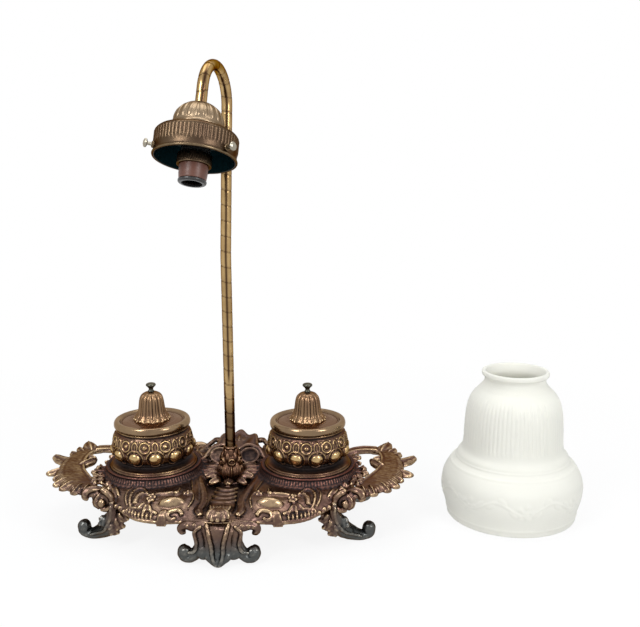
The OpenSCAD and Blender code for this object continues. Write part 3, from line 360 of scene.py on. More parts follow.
def cast(name, solids, voxel, relief):
    """One casting: the solids fused by a voxel remesh, softened, then raised by relief(points)."""
    raw = mesh_object(name + "_raw", joined(solids))
    mod = raw.modifiers.new("fuse", "REMESH")
    mod.mode = "VOXEL"
    mod.voxel_size = voxel * MM
    mod.use_smooth_shade = True
    mesh = bpy.data.meshes.new_from_object(raw.evaluated_get(bpy.context.evaluated_depsgraph_get()))
    bpy.data.objects.remove(raw)
    mesh.name = name
    co, once = positions(mesh), smoother(mesh)
    for share in (0.5, -0.52, 0.5, -0.52):
        co = once(co, share)
    set_positions(mesh, co)
    co = positions(mesh)
    co = co + rows_of(mesh.vertices, "normal") * relief(co)[:, None]
    co[:, 2] = np.maximum(co[:, 2], 0.0)  # nothing sinks into the desk
    set_positions(mesh, co)
    obj = bpy.data.objects.new(name, mesh)
    bpy.context.scene.collection.objects.link(obj)
    mesh.shade_smooth()
    return tell_relief(obj)


def weld(mesh):
    bm = bmesh.new()
    bm.from_mesh(mesh)
    bmesh.ops.remove_doubles(bm, verts=bm.verts, dist=0.00001)
    bmesh.ops.recalc_face_normals(bm, faces=bm.faces)
    bm.to_mesh(mesh)
    bm.free()
    mesh.shade_smooth()


def turning(name, profile, n, relief=None, centre=(0, 0, 0), place=None, step=0.5):
    """Closed turning from a smooth profile of [r, z]; relief(angle, share along, r, z) stands out of it."""
    q = np.asarray(profile, float)
    rows = [q[:1]]
    for a, b in zip(q[:-1], q[1:]):
        k = max(1, math.ceil(np.linalg.norm(b - a) / step))
        rows.append(a + (b - a) * (np.arange(1, k + 1) / k)[:, None])
    q = np.vstack(rows)
    ang = np.arange(n) * 2 * np.pi / n
    r, z = q[:, :1], q[:, 1:]
    push = relief(ang, walked(q)[:, None], r, z) if relief else np.zeros((1, n))
    d = unit(np.gradient(q, axis=0))
    r, z = r + d[:, 1:] * push, z - d[:, :1] * push
    v, f = grid(np.stack([r * np.cos(ang), r * np.sin(ang), z], axis=-1), loop=q[0, 0] >= 1e-6)
    obj = mesh_object(name, ((place(v) if place else v) + centre, f))
    weld(obj.data)
    return tell_relief(obj)


def wave(co, scale, seed=0.0):
    """Smooth made-up unevenness from -1 to 1, the same each run."""
    p = co / scale + seed
    a = np.sin(p @ [1.0, 1.7, 0.6] + 1.3 * np.sin(p @ [-0.7, 0.5, 1.1]))
    b = np.sin(p @ [-0.8, 0.9, 1.5] + 1.1 * np.sin(p @ [0.4, 1.3, -0.9]))
    return 0.5 * (a + b)


def to_wave(angle, count, shift=0.0):
    """Distance from the nearest of count places round the axis, as -1 to 1 from gap to gap."""
    t = angle / (2 * np.pi) * count - shift
    return 2 * (t - np.round(t))


# ---------------------------------------------------------------- materials
class Shader:
    """The nodes of a material or world; add() makes one, sets or links its inputs and returns its output."""

    def __init__(self, owner, out="OutputMaterial"):
        owner.use_nodes = True
        self.owner, self.tree = owner, owner.node_tree
        self.tree.nodes.clear()
        self.out = self.tree.nodes.new("ShaderNode" + out)

    def put(self, socket, value):
        if isinstance(value, bpy.types.NodeSocket):
            self.tree.links.new(value, socket)
        else:
            socket.default_value = (*value, 1) if socket.type == "RGBA" else value

    def add(self, kind, inputs=(), out=0, **props):
        node = self.tree.nodes.new("ShaderNode" + kind)
        for key, value in props.items():
            setattr(node, key, value)
        for key, value in dict(inputs).items():
            self.put(node.inputs[key], value)
        return node.outputs[out]

    def finish(self, socket):
        self.put(self.out.inputs[0], socket)
        return self.owner

    def attribute(self, name):
        return self.add("Attribute", out=2, attribute_name=name)

    def maths(self, op, a, b=0.0, c=0.0, clamp=False):
        return self.add("Math", {0: a, 1: b, 2: c}, operation=op, use_clamp=clamp)

    def spread(self, value, amount, onto):
        """onto, raised by how far a value from 0 to 1 lies above its middle."""
        return self.maths("MULTIPLY_ADD", self.maths("SUBTRACT", value, 0.5), amount, onto)

    def ramp(self, fac, *stops, ease="LINEAR"):
        """Colours or numbers at places along fac, blended between them."""
        node = self.tree.nodes.new("ShaderNodeValToRGB")
        node.color_ramp.interpolation = ease
        e = node.color_ramp.elements
        while len(e) < len(stops):
            e.new(0.5)
        for k, (place, colour) in enumerate(stops):
            e[k].position = place
            e[k].color = (*np.broadcast_to(colour, 3), 1)
        self.put(node.inputs[0], fac)
        return node.outputs[0]

    def noise(self, scale, detail=3.0, rough=0.55, seed=0.0):
        place = self.add("TexCoord", out=3)
        place = self.add("VectorMath", {0: place, 1: (seed, seed * 0.7, -seed)}, operation="ADD")
        return self.add("TexNoise", {"Vector": place, "Scale": scale, "Detail": detail, "Roughness": rough})

    def mix(self, fac, a, b):
        return self.add("Mix", {0: fac, 6: a, 7: b}, out=2, data_type="RGBA")

    def bump(self, height, strength, distance):
        return self.add("Bump", {"Height": height, "Strength": strength, "Distance": distance})

    def seen(self):
        """1 for rays from the camera, from gloss and through glass, 0 for light on the object."""
        rays = self.add("LightPath").node.outputs
        two = self.maths("MAXIMUM", rays["Is Camera Ray"], rays["Is Glossy Ray"])
        return self.maths("MAXIMUM", two, rays["Is Transmission Ray"])


def new_material(name):
    return Shader(bpy.data.materials.new(name))


def patina(name, hollow, body, body_2, ridge, rough=(0.5, 0.32, 0.26), wear=0.0):
    """Aged cast brass: dark in the hollows, brown on the body, rubbed bright on the ridges.

    The attributes, where a mesh has them, tint it red or green, paint a grey reflection of the white desk on
    it, or paint shade into it by darkening its hollows (a painted highlight where the value is negative)."""
    s = new_material(name)
    fine, broad, red, grey, dark, green = map(s.attribute, ("fine", "broad", "red", "grey", "dark", "green"))
    height = s.maths("ADD", s.maths("MULTIPLY", fine, 0.55), s.maths("MULTIPLY", broad, 0.45))
    height = s.maths("ADD", height, wear)
    # painted shade: this attribute lowers the height so the surface darkens like a hollow; where it is
    # negative it paints a highlight
    height = s.maths("MULTIPLY_ADD", dark, -0.34, height)
    height = s.spread(s.noise(38.0, 2.0, seed=3.1), 0.34, height)
    height = s.spread(s.noise(420.0, 3.0, 0.6, seed=9.7), 0.26, height)
    tone = s.ramp(s.noise(70.0, 2.0, seed=21.0), (0.38, body), (0.62, body_2))
    # painted reflection of the white desk: the floor-reflection attribute greys the body, the ridges and the
    # hollows
    tone = s.mix(grey, s.mix(red, tone, (0.13, 0.054, 0.042)), (0.082, 0.085, 0.082))
    top = s.mix(s.maths("MULTIPLY", red, 0.7), s.mix(grey, ridge, (0.30, 0.28, 0.24)), (0.38, 0.22, 0.14))
    deep = s.mix(grey, hollow, (0.015, 0.02, 0.024))
    low = s.mix(s.ramp(height, (0.18, 0), (0.46, 1), ease="EASE"), deep, tone)
    colour = s.mix(s.ramp(height, (0.54, 0), (0.90, 1), ease="EASE"), low, top)
    bare = s.maths("MULTIPLY", s.maths("SUBTRACT", 1.0, green), s.ramp(height, (0.2, 0.72), (0.45, 1)))
    return s.finish(s.add("BsdfPrincipled", {
        "Base Color": s.mix(green, colour, (0.002, 0.017, 0.021)), "Metallic": bare,
        "Roughness": s.ramp(height, *zip((0.25, 0.5, 0.75), rough)), "Specular Tint": (0.45, 0.36, 0.3),
        "Normal": s.bump(s.noise(700.0, 4.0, 0.6), 0.25, 0.0004),
    }))


def metal(name, colour, colour_2, rough, scale=60.0, dirt_and_painted_shade=None, edge=(0.75, 0.66, 0.58)):
    """Turned or spun metal, uneven in tone and finely worn, with dirt in its hollows, and painted shade and
    reflection in the same colour where a mesh asks for them.
    """
    s = new_material(name)
    fine = s.noise(scale * 9, 4.0, 0.65, seed=2.0)
    tone = s.mix(s.ramp(s.noise(scale, 3.0, seed=5.0), (0.35, 0), (0.65, 1)), colour, colour_2)
    if dirt_and_painted_shade:
        tone = s.mix(s.ramp(s.attribute("broad"), (0.2, 1), (0.5, 0)), tone, dirt_and_painted_shade)
        # painted shade and painted reflection, laid on in the dirt colour where the mesh's shade attribute
        # says
        tone = s.mix(s.attribute("dark"), tone, dirt_and_painted_shade)
    tone = s.mix(s.maths("MULTIPLY", s.attribute("red"), 0.75), tone, (0.15, 0.078, 0.055))
    rub = s.maths("MULTIPLY_ADD", s.maths("SUBTRACT", fine, 0.5), 0.16, rough, clamp=True)
    return s.finish(s.add("BsdfPrincipled", {
        "Base Color": tone, "Metallic": 1.0, "Roughness": rub, "Specular Tint": edge,
        "Normal": s.bump(fine, 0.15, 0.0002),
    }))


def moulded(name, colour, colour_2, rough):
    """Smooth moulded plastic, enamel or ceramic with a slightly uneven gloss."""
    s = new_material(name)
    fine = s.noise(900.0, 4.0, 0.6, seed=8.0)
    return s.finish(s.add("BsdfPrincipled", {
        "Base Color": s.mix(s.noise(90.0, 3.0, seed=7.0), colour, colour_2),
        "Roughness": s.maths("MULTIPLY_ADD", s.maths("SUBTRACT", fine, 0.5), 0.2, rough, clamp=True),
        "Normal": s.bump(fine, 0.12, 0.0002),
    }))


def white_glass():
    """Frosted pressed glass that lets some light through."""
    s = new_material("glass_frosted")
    cloud, fine = s.noise(26.0, 3.0, seed=1.0), s.noise(1500.0, 3.0, 0.7, seed=4.0)
    return s.finish(s.add("BsdfPrincipled", {
        "Base Color": s.mix(cloud, (0.87, 0.862, 0.785), (0.92, 0.912, 0.845)), "Roughness": 0.62,
        "Transmission Weight": 0.32, "IOR": 1.46,
        "Normal": s.bump(s.maths("ADD", s.maths("MULTIPLY", fine, 0.6), cloud), 0.25, 0.0006),
    }))


SHINY = (0.5, 0.3, 0.22)  # roughness in the hollows, on the body and on the ridges
CAST = patina(
    "brass_cast", (0.022, 0.016, 0.017), (0.143, 0.091, 0.066), (0.103, 0.063, 0.052), (0.44, 0.32, 0.19)
)
CAST_RED = patina(
    "brass_cast_red", (0.02, 0.013, 0.011), (0.15, 0.08, 0.045), (0.105, 0.055, 0.036), (0.38, 0.25, 0.135)
)
CAST_WELL = patina(
    "brass_cast_well", (0.016, 0.012, 0.012), (0.125, 0.078, 0.052), (0.10, 0.052, 0.038),
    (0.52, 0.36, 0.17),
    SHINY, wear=0.02,
)
BELL = patina(
    "brass_bell", (0.022, 0.013, 0.011), (0.235, 0.146, 0.082), (0.182, 0.106, 0.063), (0.48, 0.345, 0.195),
    SHINY,
)
GALLERY = patina(
    "brass_gallery", (0.025, 0.018, 0.014), (0.09, 0.06, 0.037), (0.068, 0.043, 0.028),
    (0.185, 0.135, 0.08),
    (0.5, 0.36, 0.3),
)
CANOPY = patina(
    "brass_canopy", (0.05, 0.035, 0.022), (0.255, 0.19, 0.125), (0.205, 0.148, 0.095), (0.38, 0.3, 0.2),
    (0.45, 0.32, 0.28),
)
POLISHED = metal("brass_polished", (0.27, 0.184, 0.106), (0.195, 0.13, 0.079), 0.2, dirt_and_painted_shade=(0.05, 0.03, 0.024))
TUBE = metal(
    "brass_tube", (0.53, 0.365, 0.17), (0.36, 0.235, 0.105), 0.2, dirt_and_painted_shade=(0.06, 0.03, 0.016),
    edge=(0.3, 0.2, 0.13),
)
NICKEL = metal("screw_nickel", (0.40, 0.37, 0.30), (0.28, 0.255, 0.205), 0.27)
KNOB = metal("knob_bronze", (0.105, 0.1, 0.075), (0.055, 0.055, 0.046), 0.3)
STEEL = metal("screw_steel", (0.42, 0.41, 0.39), (0.28, 0.26, 0.24), 0.3, 120.0)
GLASS = white_glass()
BLACK = moulded("holder_black", (0.012, 0.012, 0.013), (0.03, 0.028, 0.026), 0.28)
BROWN = moulded("holder_brown", (0.125, 0.042, 0.024), (0.08, 0.027, 0.015), 0.42)
CERAMIC = moulded("insulator_white", (0.72, 0.69, 0.6), (0.62, 0.58, 0.5), 0.35)
LINER = moulded("liner_opal", (0.74, 0.72, 0.64), (0.66, 0.63, 0.55), 0.15)


# ---------------------------------------------------------------- tray
SEAT_EDGE = SEAT_R - 1
EDGE_TOP = TRAY_TOP - 9
ROUND, PLACES = 432, 72  # points in the tray's outline, and the places that its ornament is laid out by
PANEL = (5.1, 40)  # place and fall of the smooth, swelling panel's middle


def round_seat(degrees):
    a = math.radians(degrees)
    return [WELL_X + SEAT_EDGE * math.sin(a), -SEAT_EDGE * math.cos(a)]


UPPER = [
    [0, -KNEE_Y + 14], [VALLEY_W / 2, -KNEE_Y + 16], [VALLEY_W, -SEAT_EDGE - 14],
    [WELL_X - 22, -SEAT_EDGE - 4],
    *map(round_seat, (-4, 20, 38, 54, 73, 90)),
]
LOWER = [
    [0, -KNEE_Y, KNEE_Z - 1.5], [20, -KNEE_Y + 3, KNEE_Z - 2], [WELL_X - 33, -APRON_Y - 1, APRON_Z],
    [WELL_X - 18, -APRON_Y, APRON_Z - 1], [WELL_X - 1, -APRON_Y + 3, APRON_Z],
    [WELL_X + 12, -APRON_Y + 13, APRON_Z + 2], [WELL_X + 24, -APRON_Y + 25, EDGE_TOP],
    [WELL_X + 33, -APRON_Y + 39, EDGE_TOP], [WELL_X + 38, -16, EDGE_TOP],
    [WELL_X + SEAT_EDGE + 1.5, 0, EDGE_TOP],
]


def around(quarter):
    """Stops of the closed outline whose front right quarter is given."""
    q = np.asarray(quarter, float)
    rear, both, left = (q * [x, y, 1][: q.shape[1]] for x, y in ((1, -1), (-1, -1), (-1, 1)))
    return np.vstack([q, rear[-2::-1], both[1:], left[-2:0:-1]])


upper_line = curve(around(UPPER), ROUND, closed=True)
lower_line = curve(around(LOWER), ROUND, closed=True)


def plate_z_at(x):
    """Height of the plate, which dips into the valley between the seats."""
    u = np.clip(2 - 2 * np.abs(x) / VALLEY_W, 0, 1)
    return TRAY_TOP - VALLEY_D * u**2 * (3 - 2 * u)


def shell_points(place, fall, lift=0.0):
    """Points of the tray's outside: place from 0 at the front to 72 all round, fall from 0 on top to 90."""
    place, fall = np.broadcast_arrays(np.asarray(place, float), np.asarray(fall, float))
    k = place * ROUND / PLACES
    i = np.floor(k).astype(int)
    u = (k - i)[..., None]
    a, b = (line[i % ROUND] * (1 - u) + line[(i + 1) % ROUND] * u for line in (upper_line, lower_line))
    f = np.radians(fall)
    level = a + (b[..., :2] - a) * np.sin(f)[..., None]
    z = b[..., 2] + (plate_z_at(a[..., 0]) - b[..., 2]) * np.cos(f)
    out = np.concatenate([level, z[..., None]], axis=-1)
    if np.any(lift):
        step = 0.05
        du = shell_points(place + step, fall) - shell_points(place - step, fall)
        dv = shell_points(place, np.clip(fall + 1, 0, 90)) - shell_points(place, np.clip(fall - 1, 0, 90))
        out = out + unit(np.cross(dv, du)) * np.asarray(lift)[..., None]
    return out


def tray_shell():
    falls = np.linspace(0, 90, 25)
    outer = [shell_points(np.arange(ROUND) * PLACES / ROUND, f) for f in falls]
    inner = []
    for f, ring in zip(falls, outer):
        d = unit(np.roll(ring, -3, 0)[:, :2] - np.roll(ring, 3, 0)[:, :2])
        under = ring + np.column_stack([-d[:, 1] * TRAY_WALL, d[:, 0] * TRAY_WALL, np.zeros(ROUND)])
        sink = np.minimum(plate_z_at(under[:, 0]) - plate_z_at(ring[:, 0]), 0) - TRAY_WALL
        under[:, 2] += sink * math.cos(math.radians(f))
        inner.append(under)
    return grid(np.stack([outer[0] * [1, 0, 1], *outer, *inner[::-1], inner[0] * [1, 0, 1]]))


def seat():
    """Round seat of an inkwell: a reeded cone between a rolled foot and a lipped rim."""
    c, top, recess = SEAT_R, SEAT_FLOOR + 1, WELL_FOOT_R + 0.6
    return revolve([
        [0, 42], [c + 2.6, 41.6], [c + 3.8, 42.4], [c + 4.0, 43.4], [c + 3.4, 44.3], [c + 2.5, 44.7],
        [c + 2.2, 45.1], [c + 0.5, 48.4], [c + 0.4, 48.9], [c + 0.9, 49.3], [c + 0.9, 49.9], [c + 0.4, top],
        [recess, top], [recess, SEAT_FLOOR], [0, SEAT_FLOOR],
    ], 192, (WELL_X, 0, 0))


def wing():
    """Right wing: a broad dished C-scroll with a gadrooned outer border, leaves and a rear bar."""
    band = [
        [118, 41, -0.6, 4.2, 2.6], [127, 37.5, 0, 6.0, 2.9], [132, 27.5, 0, 7.6, 3.0],
        [133.8, 14, 0, 9.0, 3.1],
        [133, 0, -0.4, 10.4, 3.2], [129.6, -14, -0.9, 12.2, 3.2], [123.6, -26, -1.5, 13.2, 3.2],
        [115.4, -35, -2.6, 12.0, 3.2], [106, -41, -4.2, 9.2, 3.2], [97, -43, -6, 6.0, 3.0],
    ]
    rear = [
        [92, 31, -3, 5.0, 2.7], [101, 39.5, -1.2, 5.2, 2.7], [112, 41.5, -0.2, 4.8, 2.7],
        [122, 40, 0.2, 4.6, 2.8],
        [129, 38, 0.4, 4.2, 2.6],
    ]
    out = [sweep(band, 100, 32, shape=dished), sweep(rear, 40, 18, shape=dished)]
    for shift in (-3.6, 3.6):
        line = np.add([[94, 34, -0.6], [102, 40.5, 0.8], [112, 42, 1.6], [123, 40.5, 1.8]], [0, shift, 0])
        out.append(cord_line(line, 1.2, 40, 10))
    # Fine gadroons across the outer half of the band
    line = curve(band, 260)
    d = unit(np.gradient(line[:, :3], axis=0))
    outward = unit(np.column_stack([-d[:, 1], d[:, 0], np.zeros(len(d))]))
    walk = walked(line[:, :3])
    for far in np.arange(34.0, walk[-1] - 18, 2.3):
        i = int(np.searchsorted(walk, far))
        c, o, w = line[i, :3], outward[i], line[i, 3]
        root, mid, tip = c + o * w * 0.42 - d[i] * 1.2, c + o * w * 0.62, c + o * w * 0.92 + d[i]
        stops = np.add([root, mid, tip], [[0, 0, 2.2], [0, 0, 2.2], [0, 0, 1]])
        out.append(cord_line(stops, [0.5, 0.8, 0.7], 10, 8))
    # Rounded lip along the inner edge
    inner = [line[i, :3] - outward[i] * (line[i, 3] - 1.1) + [0, 0, 1.4] for i in range(40, 236, 14)]
    out.append(cord_line(inner, 1.3, 70, 10))
    # Leaves that break the outline: root, tip, half width, fall of the tip, curl
    for a, b, w, fall, curl in (
        ([134, 9], [TIP_X - 0.6, 22.6], 7.6, -1.2, 2.6), ([137, -4], [148.8, -15.6], 6.4, -2.0, 1.6),
        ([131, -16], [140.6, -25.4], 5.2, -2.4, 0.8), ([127, -24], [136.2, -37.4], 5.4, -2.6, 0.9),
        ([121, -30], [128.6, -44.6], 5.6, -3.0, 0.9), ([113, -36], [117.2, -50.6], 5.6, -3.8, 0.8),
        ([107, -38], [110.4, -48.6], 4.2, -4.6, 0.4), ([134, 26], [143.4, 31.6], 4.4, -0.8, 0.8),
    ):
        a, b = np.array(a), np.array(b)
        n = unit(np.array([a[1] - b[1], b[0] - a[0]]))
        out.append(leaf([*a, -3.0], [*b, fall], w, 2.5, 1.6, curl))
        for side in (-1, 1):
            m = a * 0.5 + b * 0.5 + n * side * w * 0.45
            e = a * 0.24 + b * 0.76 + n * side * w * 0.5
            out.append(leaf([*m, -2.4], [*e, fall * 0.8 - 0.6], w * 0.4, 2.0, 0.8, curl * 0.2, 10, 8))
    # Rear ear with its ball, and the curl and the leaf that reach into the opening
    out.append(leaf([126, 34, 0.4], [133.8, 51.4, 1.6], 6.4, 2.6, 1.4, 1.4))
    out.append(leaf([132, 31, 0.2], [139, 40, 0.6], 4.2, 2.2, 1.0, 1.0))
    out.append(ball([132.6, 47.6, 2.4], [2.6, 2.6, 2.0]))
    reach = [
        [127, 1, -0.6, 5.4, 2.6], [122, 6.4, 0.4, 5.0, 2.9], [118.4, 12, 0.2, 3.8, 2.8],
        [115.8, 13, -1, 2.4, 2.2],
    ]
    out.append(sweep(reach, 20, 18, shape=veined))
    out.append(leaf([126, 24, -1.2], [118.6, 20.6, -1.2], 3.6, 2.2, 0.8, 0.4))
    # Leafy fringe of the plate beside the well
    for a, b, w in (
        ([98, 20], [107.0, 30], 5.0), ([100, 10], [107.6, 15], 4.4), ([101, 0], [112.6, 0.6], 5.0),
        ([100, -9], [114.0, -10.4], 6.0), ([98, -20], [109.4, -22], 6.0), ([97, -26], [108.4, -31], 5.6),
    ):
        out += acanthus([*a, -3.4], [*b, -1.6], w, 2.0, 1.0)
    # Curled leaf that hangs between the lowest lobe and the shoulder
    hanging = [
        [96, -43, -2.6, 2.8, 2.2], [102.4, -46.6, -0.6, 3.2, 2.4], [107.0, -49, -2.4, 3.2, 2.6],
        [107.6, -50, -6.0, 2.8, 2.4], [105.0, -49.4, -7.4, 2.0, 1.8],
    ]
    out.append(sweep(hanging, 30, 16, shape=ribbed(0.25)))
    return moved(out, [0, 0, WING_Z])


def shoulder():
    """Open C-scroll with a ball at its mouth, where the wing leaves the tray over the side leg."""
    scroll = [
        [31.4, -10, 0.4, 2.4, 2.4], [27.0, -13, 0.5, 3.0, 2.6], [23, -13.4, -4, 3.2, 2.6],
        [22.8, -14, -9.6, 3.0, 2.4],
        [26.6, -15, -12.8, 2.4, 2.2], [31.6, -14.6, -12.6, 1.8, 1.8],
    ]
    lobe = [
        [32.4, -11, -1.6, 2.0, 2.0], [35.4, -12, -5.4, 2.6, 2.4], [35.0, -13.4, -9.6, 2.6, 2.4],
        [31.8, -14, -12, 1.8, 1.8],
    ]
    out = [ball([30.6, -14.8, -8], [3.2, 3.2, 3.6], n=12), ball([28.8, -11.4, -6.4], [6.0, 2.2, 6.4], n=12)]
    out.append(sweep(scroll, 54, 14, wide=[0, 1, 0]))
    out.append(sweep(lobe, 24, 14, wide=[0, 1, 0], shape=veined))
    out.append(ball([29.6, -12.4, 2.0], [2.2, 2.0, 1.8], n=8))
    return moved(out, [WELL_X, -LEG_Y, TRAY_TOP])


def on_shell_line(places, w, lift=0.4, rings=30):
    """Raised line along the outside of the tray through (place, fall[, share of width])."""
    s = curve([[*p, 1.0][:3] for p in places], rings)
    return tube_along(shell_points(s[:, 0], s[:, 1], np.full(rings, lift)), w * s[:, 2])


def flutes_on_shell(roots, tips, w, drop=0.0):
    """Fan of short ribs on the tray's outside, from places roots to places tips (place, fall)."""
    out = []
    for a, b in zip(roots, tips):
        start, end = shell_points(*a, 0.5), shell_points(*b, 0.7) - [0, 0, drop]
        middle = shell_points((a[0] + b[0]) / 2, (a[1] + b[1]) / 2, 1.2)
        out.append(sweep([[*start, w * 0.7, w * 0.7], [*middle, w, w], [*end, w * 0.7, w * 0.8]], 10, 10))
    return out


def apron_ornaments():
    """Raised lines, flower, leaves and border of the front right quarter, mirrored to all four."""
    z = TRAY_TOP + 0.5
    # Line that frames the smooth, swelling panel from above, and the panel
    line = [[35.0, -42, z], [35.4, -47, z], [36.8, -51.6, z]]
    line += [shell_points(*q, 0.4) for q in ((5.2, 10), (5.9, 17), (6.7, 21), (7.2, 28))]
    out = [cord_line(line, [1.0, 1.4, 1.7, 1.8, 1.7, 1.4, 1.0], 70, 10)]
    out.append(ball(shell_points(*PANEL, -2.0), [11.0, 4.4, 7.2], n=16))
    # Flower at the panel's end, with leaves that trail down from it
    place, fall = 7.1, 34
    for a in np.radians(np.arange(20, 380, 60)):
        out.append(ball(shell_points(place + 0.26 * math.cos(a), fall + 7.5 * math.sin(a), 1.4), 1.55, n=8))
    out.append(ball(shell_points(place, fall, 2.4), 1.3, n=8))
    for a, b, w in (((7.2, 44), (6.7, 66), 1.5), ((7.3, 44), (7.4, 70), 1.6), ((7.4, 42), (8.0, 62), 1.5)):
        out += flutes_on_shell([a], [b], w)
    # Rounded leaf with a raised edge, and a plain line beside the dark recess
    out.append(on_shell_line([(7.6, 24), (8.1, 12), (8.8, 14), (9.2, 30), (9.1, 52), (8.7, 66)], 1.25, 0.6))
    out.append(on_shell_line([(8.0, 22), (8.4, 34), (8.5, 52)], 2.2, 0.3, 16))
    out.append(on_shell_line([(9.3, 8), (9.8, 24), (9.8, 46), (9.4, 62)], 0.8))
    out += flutes_on_shell([(10.8, 48), (11.2, 58)], [(11.7, 26), (12.2, 34)], 1.6)
    # Lower border: rolled edge, a curl beside the foot, a fluted leaf that hangs, coin ribs and small leaves
    out.append(on_shell_line([(3.4, 88), (6, 87), (9, 87), (12, 87), (15.4, 86, 0.8)], 1.6, 0.2, 60))
    curl = [(3.5, 66), (4.2, 56), (5.0, 60), (5.2, 72), (4.7, 80), (4.3, 74, 0.8)]
    out.append(on_shell_line(curl, 1.8, 0.5))
    fan = np.linspace(-1.5, 1.5, 4)
    roots, tips = [(5.6 + 0.10 * k, 56) for k in fan], [(5.75 + 0.24 * k, 89) for k in fan]
    out += flutes_on_shell(roots, tips, 1.5, 2.8)
    out.append(on_shell_line([(6.2, 66), (7.2, 58), (8.2, 59), (9.2, 68)], 1.4))
    ribs = np.arange(6.7, 9.3, 0.36)
    out += flutes_on_shell([(q, 66) for q in ribs], [(q, 83) for q in ribs], 0.95)
    for q, f, r in ((9.7, 84, 2.0), (10.3, 80, 1.8), (10.9, 84, 2.0), (11.8, 86, 1.6), (12.9, 86, 2.2)):
        out.append(ball(shell_points(q, f, 0.8), [r, r * 0.9, r], n=8))
    # Leaf work under the outer half of the seat
    for q, f in ((12.6, 38), (13.3, 28), (14.0, 40), (14.8, 30), (15.6, 38)):
        root, mid = shell_points(q - 0.1, f - 16, 0.2), shell_points(q + 0.2, f + 4, 1.3)
        tip = shell_points(q + 0.7, min(f + 30, 86), 0.9)
        out.append(sweep([[*root, 1.3, 1.0], [*mid, 2.3, 1.5], [*tip, 1.3, 1.1]], 10, 10, shape=veined))
    return out


def middle_ornaments():
    """Pen rest, ridges, shell boss and the leaves round the cup; the front's, mirrored behind."""
    # Tongue of the pen rest: ripples that bend round the cup, then short flutes down to the boss
    tongue = [[0, -18.8, -0.4, 8, 2.2], [0, -40, 0.4, 9.4, 2.6], [0, -60, 1, 10.5, 2.6], [0, -74, 0, 9, 3]]
    low = [sweep(tongue, 24, 20)]
    for k in range(4):
        y, z, w = -31 - 8.4 * k, 2.7 + 0.12 * k, 8.6 + 0.6 * k
        half = [[w, y + 6.0, z - 0.6, 1.9, 0.8], [w * 0.5, y + 1.4, z + 0.1, 2.3, 1.0]]
        ripple = [[-x, *q] for x, *q in half] + [[0, y, z + 0.2, 2.5, 1.0]] + half[::-1]
        low.append(sweep(ripple, 30, 12))
    for k in range(-3, 4):
        flute = [[k * 2.6, -61.5 - 0.5 * abs(k), 3.0], [k * 2.5, -67, 3.6], [k * 1.9, -73, 2.6]]
        low.append(cord_line(flute, [0.8, 1.2, 0.8], 12, 8))
    # Leaves that droop from the cup to the front and to both sides
    low.append(leaf([0, -12, 2.4], [0, -23, 3.6], 4.4, 2.0, 1.6, 1.0))
    leaves = [
        leaf([8, -8, 4], [20, -13, 5.6], 5.0, 2.4, 3.2, 0.8),
        leaf([7, -13, 3], [15, -22, 3.6], 4.0, 2.2, 2.2, 0.8),
        leaf([9, 3, 4], [24, 5, 6.6], 5.0, 2.2, 2.4, 1.0),
    ]
    # Shell boss over the foot, its lobes fanning down to the front
    boss = [ball([0, 4, 3.4], [6.8, 5.6, 4.4]), ball([0, 9, 6.0], [3.0, 2.6, 2.2])]
    for k in range(-2, 3):
        x, y = math.sin(math.radians(31 * k)), math.cos(math.radians(31 * k))
        tip, root = np.array([8.2 * x, 2.6 - 4.4 * y, 3.2 - 2.6 * y]), np.array([1.6 * x, 8.5, 6.6])
        mid = (root + tip) / 2 + [2.2 * x, -0.8, 1.7]
        boss.append(sweep([[*root, 1.3, 1.3], [*mid, 2.3, 2.2], [*tip, 2.0, 1.8]], 12, 12))
    # Flat S-band down each side of the valley to the boss, a fine line beside it
    band = [
        [24, -14, -1.0, 2.2, 1.4], [21.6, -28, -1.4, 3.6, 1.4], [17.4, -42, -3.0, 4.0, 1.4],
        [15.4, -56, -4.6, 3.8, 1.4],
        [16.4, -68, -5.6, 3.4, 1.4], [13.4, -76, -6.6, 2.4, 1.4],
    ]
    line = [[29, -24, 0.1], [25.4, -42, -0.2], [22.0, -58, -1.2], [24, -70, -3.0]]
    bands = [sweep(band, 50, 16, shape=veined), cord_line(line, [0.7, 0.9, 0.9, 0.8], 44)]
    out = moved(low + everyway(leaves, y=False), [0, 0, VALLEY_Z]) + moved(boss, [0, -KNEE_Y, KNEE_Z])
    return out + moved(everyway(bands, y=False), [0, 0, TRAY_TOP])


def rose(x, y, z, r):
    out = [ball([x, y, z], [r * 0.38, r * 0.38, r * 0.42])]
    for k in range(15, 375, 60):
        c, s = math.cos(math.radians(k)), math.sin(math.radians(k))
        middle = [x + 0.62 * r * c, y + 0.62 * r * s, z - 0.12 * r]
        out.append(ball(middle, [0.42 * r, 0.30 * r, 0.34 * r], k, 8))
    return out


def shell_bowl(centre, r, lean):
    """Shallow oval bowl with a raised edge, whose axis leans lean degrees to the front."""
    profile = [
        [0, -1.6], [0.34 * r, -1.4], [0.66 * r, -0.7], [0.86 * r, 0.3], [0.98 * r, 0.7], [1.08 * r, 0.3],
        [1.12 * r, -0.8], [r, -3.6], [0, -4.2],
    ]
    v, f = revolve(profile, 40)
    c, s = math.cos(math.radians(lean)), math.sin(math.radians(lean))
    return (v * [1.2, 1, 1]) @ np.array([[1, 0, 0], [0, c, s], [0, -s, c]]) + centre, f


